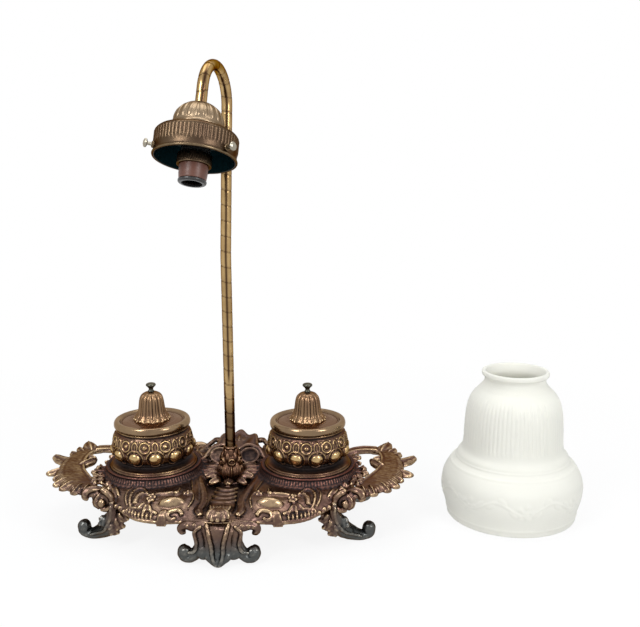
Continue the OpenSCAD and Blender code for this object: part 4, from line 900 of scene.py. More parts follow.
def rear_crest():
    """Scalloped shell that fans up behind the stem, between two ringed bowls and two volutes."""
    root_y, ground = 26.0, VALLEY_Z - 1.0
    a = np.radians(np.linspace(-86, 86, 97))[:, None]
    u = np.linspace(0.0, 1.0, 34)
    reach = u * (1 + 0.05 * np.cos(a * 8))
    x = 21 * np.sin(a) * reach**0.8
    y = root_y + 51 * np.cos(a) ** 0.8 * reach
    top = TRAY_TOP - 3 + 9.4 * np.sin(u * math.pi / 2) ** 1.2
    top = top + 1.2 * np.cos(a * 8) * np.clip(u * 1.6, 0, 1) + 1.8 * bumpy(u, 0.92, 0.07)
    low = ground + np.maximum(top - 6.0 - ground, 0) * ramped(u, 0.8, 0.2)
    shell = np.concatenate([np.stack([x, y, top], axis=-1), np.stack([x, y, low], axis=-1)[:, ::-1]], axis=1)
    cord = [[3, 30, 6.4], [11, 34, 9.2], [20, 32, 6.4], [25, 25, 1.6], [29, 20, 0.4]]
    side = [
        shell_bowl([13, 25, 3.2], 6.8, 48), cord_line(cord, [1.6, 2.0, 2.0, 1.8, 1.2], 50),
        leaf([22, 18, -1], [33, 12, 0.8], 4.4, 2.0, 1.6, 0.8),
        leaf([27, 24, -0.4], [34, 38, 0.6], 4.4, 1.9, 1.2, 1.0),
        volute([[33, 38, -0.2], [29, 50, 1], [24, 58, 3.0], [22, 63, 3.6]], 2.3, 1.3, 1.1, 3.0, 0.3, 2.0),
    ]
    raised = everyway(side, y=False) + [leaf([0, 56, 3.4], [0, 76, 2.6], 7.0, 2.2, 1.4, 0.6)]
    return [grid(shell, cap=True)] + moved(raised, [0, 0, TRAY_TOP])


def tray_relief(co):
    """Fine relief of the tray: reeding on the seats' walls and feet, and a chased, uneven skin."""
    push = 0.07 * wave(co, 2.6) + 0.05 * wave(co, 1.2, 4.0)
    for well_x in SIDE_X.values():
        x, y, z = (co - [well_x, 0, 0]).T
        r, a = np.hypot(x, y), np.arctan2(y, x)
        wall = bumpy(z, 46.8, 1.9, 4) * bumpy(r, SEAT_R + 1.3, 2.0, 4)
        push += 0.16 * wall * (np.cos(a * 104) + 0.8 * wave(co, 0.9, 7.0))
        push += 0.12 * bumpy(z, 43.6, 1.2) * bumpy(r, SEAT_R + 3.9, 1.0) * np.cos(a * 60)
    return push


def tray():
    solids = [tray_shell()] + everyway([seat(), *wing()], y=False) + everyway(shoulder() + apron_ornaments())
    solids += everyway(middle_ornaments(), x=False) + rear_crest()
    solids += everyway(rose(27.5, -49.5, TRAY_TOP + 0.6, 4.0))
    low, r = VALLEY_Z - 3, 12.3
    solids.append(revolve([[0, low], [r, low], [r, low + 3.6], [r - 0.7, STEM_FOOT_Z], [0, STEM_FOOT_Z]], 64))
    # Posts that the screws of the legs and of the feet go into
    low = 28
    for x, y, r, top in (
        (WELL_X + 14, -APRON_Y + 33, 4.4, TRAY_TOP - 1), (0, -KNEE_Y + 17, 4.6, VALLEY_Z - 1),
    ):
        solids += everyway([revolve([[0, low], [r, low], [r, top], [0, top]], 32, (x, y, 0))], x=x > 0)
    obj = cast("tray_casting", solids, 0.6, tray_relief)
    co = positions(obj.data)
    x, y, z = co.T
    from_well = np.hypot(np.abs(x) - WELL_X, y)
    wall = bumpy(from_well, SEAT_R + 1.5, 5.0, 4) * ramped(z, 41, 2)
    lip = bumpy(from_well, SEAT_R + 0.8, 1.8, 4) * ramped(z, 48.2, 0.8)
    cup = bumpy(np.hypot(x, y + 4), 0, 24, 4)
    under_well = ramped(SEAT_R - 0.6 - from_well, 0, 1.5)
    shell = bumpy(np.hypot(x, 0.7 * (y - 28)), 0, 30, 4)
    band = ramped(np.abs(x), 112, 8) * ramped(z, 44, 2)
    flower = bumpy(np.hypot(np.abs(x) - 47, np.abs(y) - 62), 0, 5, 4)
    from_panel = (np.abs(shell_points(*PANEL)) - np.abs(co)) * [0.8, 0.6, 1.3]
    panel = bumpy(np.linalg.norm(from_panel, axis=1), 0, 8, 4)
    # painted light: shade under the wells, on the crest behind the stem and on the seats' lips and walls;
    # negative values paint highlights on the wing bands, the flowers and the swelling panels
    dark = under_well + 0.35 * shell + 0.8 * lip + 0.55 * wall - 0.4 * band - 0.4 * flower - 0.55 * panel
    return tint(obj, red=0.45 * wall + 0.2 * cup + 0.3 * lip + 0.25 * ramped(x, 0, 60), dark=dark)


# ---------------------------------------------------------------- feet
def centre_foot():
    """Front centre foot: two ribs beside a channel that meet at a pointed toe, between curled lobes."""
    kz = KNEE_Z
    toe = [
        [0, 13, kz - 9.2, 7, 2.5], [0, 1, kz - 5.2, 13, 4.2], [0, -1, 21, 11.0, 5], [0, -0.4, 13, 11.4, 5],
        [0, -3, 7.2, 10.4, 4.4], [0, -5.6, 3.6, 5.6, 3.0], [0, -7.2, 1.6, 2.0, 1.5],
    ]
    out = [sweep(toe, 50, 32, wide=[1, 0, 0], shape=ribbed(-0.2))]
    out.append(revolve([[0, kz - 9], [8.5, kz - 9], [8.5, kz - 6], [0, kz - 6]], 32, (0, 17, 0)))
    # On each side: a rib to the toe's point, a broad lobe that rolls up at the desk, its edge, an upper curl
    rib = [
        [8.4, -0.6, kz - 0.6, 1.8, 2.2], [6.2, -5.4, 26, 2.0, 2.3], [4.4, -6.0, 18, 1.9, 2.3],
        [3.9, -6.2, 11, 1.8, 2.2], [2.6, -6.6, 5.6, 1.7, 2.0], [0.9, -7.2, 2.2, 1.4, 1.6],
    ]
    lobe = [
        [9, 4, kz - 6, 4.2, 4.4], [13.2, 2.5, 25, 4.6, 4.2], [13.0, 2.6, 17, 5.0, 4.6],
        [16.4, 3.4, 9.4, 5.4, 4.6],
        [21.6, 3.6, 4.6, 5.2, 4.0], [26.4, 4, 5.8, 5.0, 4.2], [27.2, 4.4, 10.2, 4.6, 3.6],
        [24.4, 4.8, 12.0, 3.6, 2.4],
    ]
    edge = [
        [12.0, -1.2, kz - 2.6, 1.3, 1.4], [17.2, -2.2, 27, 1.5, 1.6], [15.8, -2.8, 18, 1.5, 1.6],
        [18.0, -2.4, 11.8, 1.4, 1.5], [23.0, -1.4, 10.4, 1.1, 1.2],
    ]
    curl = [
        [8, 3, kz - 4.4, 3.6, 4.4], [17, 2.4, kz - 4.6, 3.8, 3.8], [24, 3, kz - 3.6, 3.4, 3.2],
        [28.4, 4, kz - 6.2, 3.1, 2.9], [27.4, 4.6, kz - 9.6, 2.6, 2.4], [24.8, 5, kz - 9.4, 1.9, 1.8],
    ]
    balls = (
        ([25.4, 3.6, 8.6], [5.2, 5.0, 5.2], 12), ([11, 0.4, 10.5], [6.6, 4.4, 6.4], 12),
        ([22.4, 1.2, kz - 3.4], [2.6, 2.4, 2.3], 8), ([17.6, 0.4, kz - 3.0], [2.4, 2.2, 2.1], 8),
    )
    for s in (-1, 1):
        for stops, rings, sides, wide, shape in (
            (rib, 40, 12, [1, 0, 0], None), (lobe, 60, 24, [0, 1, 0], ribbed(0.1)),
            (edge, 30, 10, [0, 1, 0], None), (curl, 40, 16, [0, 1, 0], ribbed(0.2)),
        ):
            out.append(sweep(np.multiply(stops, [s, 1, 1, 1, 1]), rings, sides, wide, shape))
        out += [ball(np.multiply(c, [s, 1, 1]), radii, n=n) for c, radii, n in balls]
    return moved(out, [0, -KNEE_Y, 0])


def side_leg():
    """Front right leg: from the shoulder a leafed limb sweeps down to a toe curled round a ball."""
    leg = [
        [17, -10, 25.3, 5, 2], [22, -12, 23.4, 5.5, 5.4], [24.5, -10.4, 18.5, 6.8, 7.8],
        [28.6, -6.4, 11.8, 6.6, 7.0],
        [36, -1.6, 6.2, 6, 5.6], [43.4, 0, 3.8, 5.5, 4.1], [50, 0, 6.0, 5.4, 3.8], [50.4, 0, 10.8, 5, 3.6],
        [46.8, 0, 12.8, 4.2, 2.8],
    ]
    out = [sweep(leg, 80, 26, wide=[0, 1, 0], shape=ribbed(0.1))]
    out.append(ball([49.4, -0.5, 9.8], [5.4, 5.6, 5.8], n=12))
    out.append(revolve([[0, 25], [7, 25], [7, 28], [0, 28]], 32, (14, -3, 0)))
    # Thigh that rises in front of the tray's shoulder, with a ridge down its front
    thigh = [
        [22.4, -15.4, 38, 3.0, 2.4], [21.8, -15.6, 31, 4.0, 3.2], [24.0, -14.6, 23, 5.0, 4.8],
        [27.6, -10.6, 15, 5.2, 5.2],
    ]
    out.append(sweep(thigh, 30, 20, wide=[0, 1, 0]))
    rib = [
        [22.6, -18.6, 35, 1.2, 1.3], [22.8, -19.2, 27, 1.5, 1.6], [26.4, -17.8, 18, 1.5, 1.6],
        [31.2, -12.8, 11.4, 1.4, 1.5], [37.6, -7.6, 7.4, 1.2, 1.3], [44, -5.6, 5.0, 1.1, 1.1],
    ]
    out.append(sweep(rib, 44, 10, wide=[0.6, 1, 0]))
    # Leaf collar: leaves that hang over the limb's inner side and its front
    for a, b, w in (
        ([17, -13, 29], [12, -15, 19.5], 4.0), ([19, -15.5, 25], [15.4, -17.0, 14], 4.2),
        ([22, -16.5, 21], [20.4, -17.8, 9.6], 4.2), ([28.5, -14.5, 25], [31.4, -14.8, 16], 3.6),
    ):
        out.append(leaf(a, b, w, 2.4, 1.2, 0.8))
        out += acanthus(a, b, w, 1.7, 1.2, up=(-0.25, -0.95, 0.1))
    return moved(out, [WELL_X, -LEG_Y, 0])


FEET = {
    "front_foot": (1, 1), "rear_foot": (1, -1),
    "leg_front_right": (1, 1), "leg_front_left": (-1, 1), "leg_rear_right": (1, -1),
    "leg_rear_left": (-1, -1),
}


def foot_relief(co):
    return 0.12 * wave(co, 2.0) + 0.06 * wave(co, 1.1, 2.0)


def foot_casting(name):
    """A foot or leg, mirrored to its place, with a painted grey reflection of the desk towards the desk or
    the toe.
    """
    leg = name.startswith("leg")
    solids = mirrored(side_leg() if leg else centre_foot(), *FEET[name])
    obj = cast(name + "_casting", solids, 0.5, foot_relief)
    x, y, z = positions(obj.data).T
    return tint(obj, grey=(np.abs(x) - 84) / 9 if leg else (24 - z) / 13)


# ---------------------------------------------------------------- inkwells and lids
PETALS = 12
BOSS_GAP = 8.6  # half the way between two bosses of a well, measured round it


def well_relief(ang, along, r, z):
    """Twelve ringed oval bosses with drops between them on the belly, ovals and lyres above, beads on top."""
    near, between = to_wave(ang, PETALS, 0.5) * BOSS_GAP, to_wave(ang, PETALS) * BOSS_GAP
    low, high = z - BELLY_Z + 3.2, z - BELLY_Z - 6.4
    oval = np.hypot(near / 5.3, low / 5.1)
    upper, lyre = np.hypot(between / 4.4, high / 4.3), np.hypot(near / 2.6, high / 4.2)
    relief = np.maximum.reduce([
        2.9 * dome(oval**2),
        0.9 * bumpy(oval, 1.36, 0.15),
        0.9 * dome((between / 2.2) ** 2 + ((low + 1.6) / 4.8) ** 2),
        bumpy(upper, 0.95, 0.17) + 0.9 * dome((upper / 0.45) ** 2),
        0.8 * bumpy(lyre, 0.9, 0.2) + 0.5 * bumpy(near, 0, 0.5) * bumpy(high, -1, 4.0),
        0.5 * bumpy(z, RIM_Z - 4.4, 0.9) * (0.5 + 0.5 * np.cos(ang * 48)),
        0.55 * bumpy(z, BELLY_Z + 1.5, 0.55) + 0 * ang,
    ])
    soft = 0.12 * np.sin(ang * 7 + z * 0.9) * np.sin(z * 1.3 + 2 * np.sin(ang * 5))
    outer = (r > WAIST_R - 1) & (z > SEAT_FLOOR + 5.5) & (z < RIM_Z - 1.5)
    return np.where(outer, relief - 0.35 + soft, 0.0)


def well_bowl(side):
    a = np.radians(np.arange(-75, 71, 5.0))
    height = np.where(a < 0, WELL_H * 0.28, WELL_H * 0.44)
    radius = (WAIST_R - 2.2) + (BOWL_R - WAIST_R + 1.3) * np.cos(a)
    bowl = np.column_stack([radius, BELLY_Z + height * np.sin(a)])
    f, w, floor = WELL_FOOT_R, WAIST_R, RIM_Z - BORE_H
    foot = rounded([
        [f - 0.4, 0], [f, 0.7], [f - 0.1, 1.4], [f - 1.2, 1.9], [f - 0.9, 2.7], [f - 2.0, 3.4],
        [w + 2, 4.0],
        [w - 0.2, 5.2], [w, 6.6],
    ]) + [0, SEAT_FLOOR]
    top = [
        [RIM_R - 0.6, RIM_Z - 1.8], [RIM_R, RIM_Z - 1.2], [RIM_R, RIM_Z - 0.2], [RIM_R - 0.2, RIM_Z],
        [BORE_R, RIM_Z], [BORE_R, floor], [0, floor],
    ]
    x = SIDE_X[side]
    profile = np.vstack([[[0, SEAT_FLOOR]], foot, bowl, top])
    obj = turning(f"well_{side}_bowl", profile, 480, well_relief, (x, 0, 0))
    co = positions(obj.data)
    place = to_wave(np.arctan2(co[:, 1], co[:, 0] - x), PETALS, 0.5) * BOSS_GAP
    boss = np.hypot(place / 5.0, (co[:, 2] - BELLY_Z + 3.2) / 4.8)
    # painted shade at the waist and under the rim; the bosses get a painted highlight from the negative
    # values
    waist_shade = bumpy(co[:, 2], SEAT_FLOOR + 6.0, 2.4, 4) + 0.7 * bumpy(co[:, 2], RIM_Z - 1.6, 1.8)
    return tint(obj, dark=waist_shade - 1.1 * np.clip(1.2 - boss, 0, 1))


def knuckle(x, long, lid=False):
    """Barrel of the hinge and the tongue that holds it, x from its inner end."""
    r, far = KNUCKLE_R, BORE_R + 1
    a = np.arange(24) * math.pi / 12
    barrel = np.column_stack([HINGE_Y + r * np.cos(a), HINGE_Z + r * np.sin(a)])
    if lid:
        near, low = 27.9, HINGE_Z - 0.4
        tongue = [[near, low], [HINGE_Y - 0.4, low], [HINGE_Y, HINGE_Z + r], [near, HINGE_Z + r]]
    else:
        tongue = [
            [far, RIM_Z - 9], [HINGE_Y + 0.5, HINGE_Z - r - 1], [HINGE_Y + r * 0.9, HINGE_Z - 1.2],
            [HINGE_Y - r + 0.4, HINGE_Z - 1.3], [far, RIM_Z - 1.5],
        ]
    bars = (barrel, np.linspace(0, long, 5)), (tongue, (0.15, long - 0.15))
    return [grid(np.array([[[x + k, *q] for q in ring] for k in places]), cap=True) for ring, places in bars]


def knuckles(name, solids):
    """Flat-shaded object of the barrels and tongues that one piece of a hinge has."""
    return tell_relief(mesh_object(name, joined(solids), smooth=False))


def lid_plate(side):
    c, t = LID_R, LID_T
    profile = rounded([
        [0, PLATE_Z - 2.4], [BORE_R - 0.7, PLATE_Z - 2.4], [BORE_R + 0.9, LID_Z + 1.6], [BORE_R + 1, LID_Z],
        [c - 1.6, LID_Z], [c - 0.5, LID_Z + 0.6], [c, LID_Z + 2], [c, LID_Z + t * 0.55],
        [c - 0.4, LID_Z + t * 0.8],
        [c - 1.3, LID_Z + t - 0.2], [c - 2.4, LID_Z + t], [c - 4.4, LID_Z + t - 0.2],
        [c - 5.6, PLATE_Z - 1.3],
        [c - 6.4, PLATE_Z - 1.4], [c - 7.2, PLATE_Z - 0.6], [c - 9.6, PLATE_Z - 0.3],
        [c - 10.6, PLATE_Z - 0.1],
        [c - 12, PLATE_Z], [0, PLATE_Z],
    ])

    def relief(ang, along, r, z):
        ripple = 0.10 * np.sin(ang * 56 + 3 * np.sin(ang * 7)) * bumpy(r, 16.5, 3.6)
        ring = 0.16 * bumpy(r, 17.6, 0.35) + 0.2 * bumpy(r, c - 6.6, 0.4)
        dent = 0.05 * np.sin(ang * 9 + r * 0.8) * np.sin(r * 1.1 + ang * 4)
        top = z > PLATE_Z - 1
        return np.where(top & (r > 9) & (r < c - 9.5), ripple + ring + dent, np.where(top, ring * 0.6, 0.0))

    x = SIDE_X[side]
    obj = turning(f"lid_{side}_plate", profile, 240, relief, (x, 0, 0))
    co = positions(obj.data)
    inside = ramped(c - 5.0 - np.hypot(co[:, 0] - x, co[:, 1]), 0, 1.5)
    return tint(obj, red=inside * ramped(co[:, 2], PLATE_Z - 3, 1))


def bell(side):
    """Fluted bell of petals whose tips end in beads."""
    r0, h, bore = 15.0, BELL_TOP - PLATE_Z, 1.6
    form = [
        [1, 0], [0.99, 0.03], [0.92, 0.09], [0.82, 0.18], [0.75, 0.32], [0.71, 0.5], [0.67, 0.68],
        [0.6, 0.82],
        [0.47, 0.93], [0.3, 0.985], [0.14, 1.0],
    ]
    outer = curve(form, 60) * [r0 - 0.6, h] + [0, PLATE_Z]
    inner = outer[::-1][6:] - [1.8, 0.0]
    inner = inner[inner[:, 0] > bore]
    inner[:, 1] = PLATE_Z + (inner[:, 1] - PLATE_Z) * 0.92
    profile = np.vstack([outer, [[bore, BELL_TOP]], [[bore, PLATE_Z + h * 0.9]], inner])
    outside = walked(outer)[-1] * 0.995

    def relief(ang, along, r, z):
        t, s = to_wave(ang, PETALS), (z - PLATE_Z) / h
        petal = 1.25 * dome(np.abs(t) ** 2.2) - 0.8
        seam = -0.6 * bumpy(t, 0, 0.13) * bumpy(s, 0.45, 0.3, 4)
        fade = ramped(s, 0, 0.06) * ramped(0.97 - s, 0, 0.12)
        lip = 0.5 * bumpy(s, 0.13, 0.05) * (0.4 + 0.6 * np.cos(ang * PETALS) ** 2)
        return np.where(along < outside, (petal + seam) * fade + lip, 0.0)

    x = SIDE_X[side]
    obj = turning(f"bell_{side}_shell", profile, 336, relief, (x, 0, 0), step=0.4)
    co = positions(obj.data)
    t = to_wave(np.arctan2(co[:, 1], co[:, 0] - x), PETALS)
    # painted shade in the seams between the petals and down their middles, strongest halfway up the bell
    dark = 0.7 * bumpy(np.abs(t), 1, 0.22) + 0.6 * bumpy(t, 0, 0.13)
    return tint(obj, dark=dark * bumpy(co[:, 2], PLATE_Z + 0.5 * h, 0.42 * h, 4))


def bell_beads(side):
    solids = []
    for k in range(PETALS):
        for share, r, z, radii, n in ((k, 13.6, 1.0, [1.35, 1.35, 1.2], 8), (k + 0.5, 14.4, 0.5, 0.8, 6)):
            a = 2 * math.pi * share / PETALS
            solids.append(ball([SIDE_X[side] + r * math.cos(a), r * math.sin(a), PLATE_Z + z], radii, n=n))
    return tell_relief(mesh_object(f"bell_{side}_beads", joined(solids)))


def knob(side):
    r, h, z = 4.1, 7.4, BELL_TOP
    profile = rounded([
        [0, LID_Z + 0.8], [1.5, LID_Z + 0.8], [1.5, z], [r * 0.62, z], [r * 0.66, z + 0.6],
        [r * 0.46, z + 1.4],
        [r * 0.44, z + h * 0.36], [r * 0.7, z + h * 0.54], [r * 0.98, z + h * 0.68], [r, z + h * 0.8],
        [r * 0.82, z + h * 0.93], [r * 0.3, z + h], [0, z + h],
    ])
    return turning(f"knob_{side}_turned", profile, 96, centre=(SIDE_X[side], 0, 0), step=0.3)


# ---------------------------------------------------------------- lamp
TUBE_PITCH = 12.0
TUBE_HOLE = TUBE_R + 0.05
CANOPY_R = 18.5
CUP_TURN = -1.3


def arm_line(step=0.8):
    """The arm's middle line in its own plane, [behind the stem, up], the way along it, and the opening."""
    stem = [[0.0, 34.0], [0.0, STEM_Z]]
    a = np.linspace(0, LEAN, 12)[1:]
    bend = np.column_stack([LEAN_R * (1 - np.cos(a)), STEM_Z + LEAN_R * np.sin(a)])
    start = bend[-1] + LEAN_L * np.array([math.sin(LEAN), math.cos(LEAN)])
    centre = start + ARCH_R * np.array([-math.cos(LEAN), math.sin(LEAN)])
    a = np.linspace(-LEAN, math.pi - TILT, 60)[1:]
    arch = centre + ARCH_R * np.column_stack([np.cos(a), np.sin(a)])
    down = np.array([-math.sin(TILT), -math.cos(TILT)])
    top = arch[-1] + DROP_L * down
    q = np.vstack([stem, bend, start, arch, top + (CANOPY_H + 4) * down])
    walk = walked(q)
    s = np.arange(0, walk[-1], step)
    line = np.column_stack([np.interp(s, walk, q[:, 0]), np.interp(s, walk, q[:, 1])])
    return line, s, top + (GALLERY_H + CANOPY_H) * down


ARM, ARM_S, OPENING = arm_line()


def in_arm_plane(v):
    """From [across, behind, up] of the arm's plane to the object's frame."""
    return turned(v, -ARM_TURN)


def on_head(v):
    """From the lamp head's own frame, its opening's centre at the origin, to the object's."""
    c, s = math.cos(-TILT), math.sin(-TILT)
    x, y, z = v.T
    return in_arm_plane(np.column_stack([x, y * c - z * s + OPENING[0], y * s + z * c + OPENING[1]]))


def in_rim(v, turn):
    """From a screw's or boss's own frame, its axis upright, to its place in the gallery's rim."""
    return on_head(turned(v[:, [2, 0, 1]] + [0, 0, THUMB_Z], math.radians(turn)))


def head_turning(name, profile, n, relief=None, step=0.5):
    return turning(name, profile, n, relief, place=on_head, step=step)


def gooseneck():
    """Tube with fine slanting lines round it, a painted dark reflection streak along it and painted shade on
    its sides; hollow at both ends.
    """
    d = unit(np.gradient(ARM, axis=0))
    over, rise = np.column_stack([d[:, 1], -d[:, 0]]), d[:, 1:]
    height = ARM[:, 1:]
    a = np.arange(64) * 2 * np.pi / 64
    turn = ARM_S[:, None] / TUBE_PITCH + 0.11 * np.cos(a + 0.4)
    line = bumpy((turn + 0.5) % 1 - 0.5, 0, 0.45 / TUBE_PITCH)

    def skin(r):
        y, z = ARM[:, :1] + over[:, :1] * r * np.sin(a), height + over[:, 1:] * r * np.sin(a)
        return np.stack([r * np.cos(a), y, z], axis=-1)

    outer, inner = skin(TUBE_R - 0.02 - 0.2 * line), skin(np.full_like(line, TUBE_R - 1.0))
    v, f = grid(np.concatenate([outer, inner[::-1]]), loop=True)
    obj = tell_relief(mesh_object("gooseneck_tube", (in_arm_plane(v), f)))
    front = -1.715 + 0.495 * rise  # the angle round the tube that faces the camera
    # painted reflection: a dark streak laid along the side of the tube that faces the camera
    aside = np.abs(np.sin(a - front))
    painted_reflection_streak = bumpy(aside, 0, 0.27 - 0.07 * rise) * ramped(height, 116, 10)
    painted_reflection_streak = painted_reflection_streak * np.clip(1.6 * np.abs(rise) - 0.3, 0, 1)
    # painted shade on both sides of the tube as seen from the front; the engraved line is darkened with dirt,
    # and the tube gets darker towards its bottom
    edge = bumpy(aside, 1, 0.24) * (0.35 + 0.5 * ramped(-height, -130, 20))
    foot = ramped(-height, -104, 16)
    dark = 0.75 * line + 1.15 * painted_reflection_streak + 0.8 * foot + edge
    return tint(obj, dark=np.concatenate([dark, 0 * dark]))


def stem_cup():
    """Leafy cup at the stem's foot: standing leaves on a bulb, rosettes over them, a leafed cone above."""
    c, h, foot = 10.8, 28.0, STEM_FOOT_Z
    form = [
        [0.72, 0], [0.82, 0.05], [0.96, 0.16], [0.98, 0.28], [0.9, 0.4], [0.74, 0.5], [0.68, 0.56],
        [0.7, 0.62],
        [0.66, 0.7], [0.56, 0.8], [0.5, 0.9], [0.5, 0.95], [0.46, 1.0],
    ]
    outer = curve(form, 90) * [c, h] + [0, foot]
    profile = np.vstack([outer, [[TUBE_HOLE, foot + h]], [[TUBE_HOLE, foot]], outer[:1]])

    def relief(ang, along, r, z):
        s = (z - foot) / h
        t, t_rose = to_wave(ang, 9), to_wave(ang, 6, CUP_TURN)
        wide = 0.95 - 1.3 * np.clip(s - 0.2, 0, 1)
        leaves = 1.7 * dome((t / wide) ** 2) - 0.6
        rib = 0.6 * bumpy(t, 0, 0.12) - 0.5 * bumpy(np.abs(t), 0.42, 0.13)
        between = dome((to_wave(ang, 9, 0.5) / 0.3) ** 2 + ((s - 0.3) / 0.14) ** 2)
        rose_r = np.hypot(t_rose * 3.9 / 3.0, (s - 0.57) * h / 3.0)
        roses = 1.9 * bumpy(rose_r, 0.78, 0.3) + 0.9 * bumpy(rose_r, 0, 0.25)
        fold = 1.5 * dome((to_wave(ang, 6, CUP_TURN + 0.5) / 0.55) ** 2 + ((s - 0.72) / 0.13) ** 2)
        upper = 0.9 * dome((t_rose / 0.7) ** 2 + ((s - 0.84) / 0.1) ** 2)
        collar = 0.5 * bumpy(s, 0.965, 0.025) + 0 * ang
        push = bumpy(s, 0.26, 0.2, 4) * (leaves + rib)
        push = push + np.maximum.reduce([between, roses, fold, upper, collar])
        return np.where((r > TUBE_HOLE + 0.3) & (s > 0.01) & (s < 0.995), push, 0.0)

    return turning("stem_cup_leaves", profile, 320, relief, step=0.35)


def canopy():
    """Spun canopy over the gallery with bright teardrop flutes."""
    c, g, h, hole = CANOPY_R, GALLERY_TOP, CANOPY_H + GALLERY_H - GALLERY_TOP, TUBE_HOLE
    a = np.radians(np.linspace(0, 76, 44))
    outer = np.column_stack([hole + (c - hole) * np.cos(a), g + 2.4 + (h - 2.4) * np.sin(a)])
    inner = np.column_stack([hole + (c - 1.3 - hole) * np.cos(a), g + 2 + (h - 3.6) * np.sin(a)])[::-1]
    rim = rounded([[c - 0.9, g], [c + 0.3, g], [c + 0.8, g + 1], [c + 0.3, g + 2], [c, g + 2.4]])
    profile = np.vstack([rim, outer, [[hole, g + h]], [[hole, g + h - 1.6]], inner, [[c - 1.3, g]], rim[:1]])

    def relief(ang, along, r, z):
        s = (z - g - 2.4) / (h - 2.4)
        wide = 0.72 - 0.45 * np.clip(s, 0, 1)
        tear = 0.62 * dome((to_wave(ang, 20) / wide) ** 2 + (np.clip(0.34 - s, 0, 1) / 0.26) ** 2)
        push = tear * ramped(0.86 - s, 0, 0.3) - 0.2 * ramped(s, 0, 0.05)
        return np.where((along < 29.5) & (s > 0.02), push, 0.0)

    return head_turning("canopy_spun", profile, 480, relief, 0.35)


def gallery():
    """Shade gallery: rolled rim, plain lower band, fluted band and shoulder; dark green inside."""
    r0, bz, bh, g, c, hole = 28.75, 5.6, 11.6, GALLERY_H, CANOPY_R, TUBE_HOLE
    out, top, low = r0 + 0.9, bz + bh, GALLERY_TOP
    shoulder = [
        [out, top + 0.5], [out - 0.3, top + 1.1], [out - 1.6, top + 2.3], [out - 4.4, top + 3.2],
        [c + 3, low - 0.6],
        [c + 0.8, low],
    ]
    profile = rounded([
        [r0, 0.5], [r0 + 0.1, 0.1], [out + 0.6, 0.0], [out + 1, 0.9], [out + 0.6, 1.8], [out, 2.2],
        [out, 4.5],
        [out, bz - 0.6], [out + 0.1, bz], [out + 0.2, bz + 5], [out + 0.2, top - 0.4],
        [out + 0.4, top + 0.1],
        *shoulder, [11.6, low], [10.9, g], [hole, g], [hole, g - 1], [10.1, g - 1], [10.8, low - 1],
        [c + 0.6, low - 1], [c + 2.6, low - 1.6], [out - 4.8, top + 2.0], [r0 - 1.2, top + 1.4],
        [r0, top + 0.2],
        [r0, bz], [r0, 0.5],
    ], 1)

    def relief(ang, along, r, z):
        band = ramped(z, bz + 0.2, 2.5) * ramped(top - 0.2 - z, 0, 0.5)
        return np.where(r > out + 0.02, band * (0.6 * dome(to_wave(ang, 60) ** 2) - 0.15), 0.0)

    obj = head_turning("gallery_band", profile, 960, relief, 0.6)
    base = on_head(np.zeros((1, 3)))
    x, y, z = (on_head(np.eye(3)) - base) @ (positions(obj.data) - base).T
    far = np.hypot(x, y)
    roof = np.interp(far, *np.array(shoulder[::-1]).T)
    return tint(obj, green=ramped(r0 + 0.35 - far, 0, 0.2) * ramped(roof - 0.45 - z, 0, 0.2))


def gallery_bosses():
    profile = rounded([[1.4, 28.9], [2.5, 28.9], [2.5, 30.9], [2.2, 31.3], [1.4, 31.3], [1.4, 28.9]], 1)
    v, f = revolve(profile, 40)
    obj = mesh_object("gallery_bosses", joined([(in_rim(v, turn), f) for turn in THUMB_TURNS.values()]))
    weld(obj.data)
    return tell_relief(obj)


def thumbscrew(name, turn):
    """Mushroom head on a threaded shank, in the gallery's rim."""
    tip, head, r, hr = 27.05, 34.65, 1.3, 3.2
    shank = [[r - 0.16 * (k % 2), tip + 0.8 + k * (head - tip - 1.2) / 30] for k in range(30)]
    profile = [
        [0, tip], [r * 0.6, tip], [r * 0.9, tip + 0.5], *shank, [r, head], [hr * 0.62, head],
        [hr * 0.9, head + 0.4],
        [hr, head + 0.9], [hr, head + 1.5], [hr * 0.86, head + 2.1], [hr * 0.5, head + 2.6],
        [0, head + 2.7],
    ]

    def knurl(ang, along, r, z):
        return np.where((z > head + 0.7) & (z < head + 1.7), -0.06 * (1 + np.cos(ang * 20)), 0.0)

    return turning(name + "_turned", profile, 60, knurl, place=lambda v: in_rim(v, turn), step=0.4)


